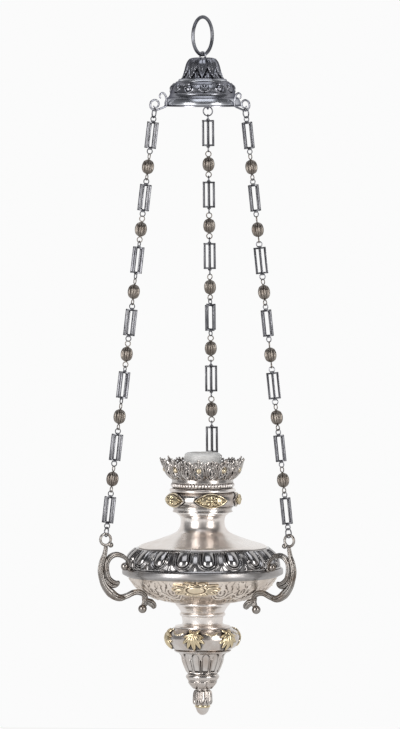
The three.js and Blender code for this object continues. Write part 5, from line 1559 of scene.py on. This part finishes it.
def cast_arm():
    """The whole arm in the XZ plane, with its strands, its balls and its eye."""
    stem_path = [(ARM_EYE_X - 1, ARM_EYE_Z - 7.4), (139.4, 25), (143.2, 14.6), (144.6, 2), (140.2, -13.4),
                 (131.2, -24.2), (119.4, -31.4), (108.6, -29.6), (98, -25.4), (89.6, -25.4), (83.4, -29.2),
                 (80.4, -37.2), (82.6, -44)]
    stem_width = [2.6, 3.2, 3.8, 4.1, 4.1, 4.8, 6.0, 4.9, 3.9, 3.8, 3.8, 3.4, 2.8]
    scroll_path = [(117.6, -11), (123.6, -12), (129.8, -9.4), (134.4, -4.4), (136.7, 4.4), (136.4, 14.4),
                   (131.2, 21.8), (123.4, 24.8), (115.0, 23.0), (108.2, 18.4), (105.0, 12.6), (105.8, 7.4),
                   (109.6, 5.0), (113.2, 6.8), (113.4, 10)]
    scroll_width = [2.3, 3.1, 3.6, 3.8, 3.8, 3.9, 4.0, 3.9, 3.6, 3.2, 2.7, 2.3, 1.9, 1.6, 1.3]
    lobe_path = [(84.6, -35.4), (79.2, -37.0), (73.8, -39.4), (70.2, -43.2), (70.2, -47.6)]
    sheath_path = [(140.6, -4), (135.4, -11.6), (129.0, -15.6), (122.6, -15.4), (118.2, -12.2)]
    leaf_path = [(137.6, -18.4), (130.0, -26.2), (121.6, -30.6), (113.4, -31.4), (107.6, -27.6)]
    parts = [
        strand(stem_path, stem_width),
        strand(scroll_path, scroll_width),
        strand(sheath_path, [1.4, 2.6, 3.2, 2.7, 1.2], flat=1.2),
        strand(leaf_path, [1.6, 3.6, 5.0, 4.2, 1.4], flat=1.25),
        strand(lobe_path, [2.4, 3.8, 4.8, 4.4, 2.8], flat=1.4),
        strand([(84.6, -30.8), (83.2, -38), (85.6, -43.4)], [2.4, 2.8, 2.6]),
        moved(hoop(ARM_EYE_RADIUS, ARM_EYE_WIRE, arm_silver, steps=40, sides=14),
              shift=(ARM_EYE_X, 0, ARM_EYE_Z + body_level)),
        ball(3.5, ARM_EYE_X - ARM_EYE_RADIUS, ARM_EYE_Z - ARM_EYE_RADIUS),
        ball(5.2, VOLUTE_X, VOLUTE_Z, 0.95),
        ball(5.6, 85.6, -47.0),
        ball(3.4, VOLUTE_X - 6.4, VOLUTE_Z - 3.4),
    ]
    for part in parts:
        age(part, strength=1.6, spread=1, extra=0.02)
    return joined(*parts)


arm_pattern = cast_arm()
for number, azimuth in enumerate(CHAIN_AZIMUTHS, 1):
    mount_piece(f"scroll_arm_{number}", moved(arm_pattern.copy(), about_z(azimuth)), arm_silver, "lamp_body",
                "old_silver", f"arm_{number}")
print("arm faces", len(arm_pattern.polygons))

# %% [markdown]
# ## Glass and candle
# A frosted opal tumbler with a rolled-in top stands in the crown and holds a short candle. Light spreads in
# the glass, so it looks white and soft.

# %% Make the glass, the candle and the wick
glass_line = outline([(0, 88.4), (21.3, 88.4)], [(23.6, 89.3), (24.3, 91.6)], [(24.3, 146.5)],
                     [(23.6, 150.9), (21.2, 153.6), (17.5, 154.4)], [(16.8, 153.4), (17.4, 151.9)],
                     [(20.4, 150.6), (21.7, 147), (21.7, 144)], [(21.7, 91.0)], [(0, 91.0)], spacing=0.9)
glass = turned(glass_line, opal_glass, body_level, segments=96, closed=False)
mount_piece("opal_tumbler", glass, opal_glass, "glass", "opal_glass", "vigil_glass")

candle_line = outline([(0, 91.2), (15.5, 91.2)], [(15.5, 133.4)], [(15.0, 134.8), (13.8, 135.2)],
                      [(6, 133.4), (1.3, 133.2)], [(1.3, 129.2)], [(0, 129.2)], spacing=1.2)
wax = turned(candle_line, candle_wax, body_level, segments=64, closed=False)
mount_piece("wax_candle", wax, candle_wax, "candle_stub", "candle_wax", "candle")
wick_line = smooth_line([(0, 0, 129.5), (0.1, 0, 135), (0.4, 0.1, 138.4), (1.1, 0.2, 141.0)], 0.5)
wick_thick = 0.85 + 0.08 * np.cos(np.arange(len(wick_line)) * 1.9)
wick = wire(wick_line + np.array([0, 0, body_level]), wick_thick, wick_cotton, sides=10)
mount_piece("cotton_wick", wick, wick_cotton, "candle_stub", "wick_cotton", "wick")

# %% [markdown]
# ## Fittings that stay as the CAD has them
# The tray, the rod and the nuts are hidden inside. Their CAD shapes are right, so they only get dull brass.

# %% Dress the fittings
for node in ("canopy_nut", "tie_rod", "tie_rod_nut", "glass_tray"):
    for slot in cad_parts[node].material_slots:
        slot.material = plain_brass
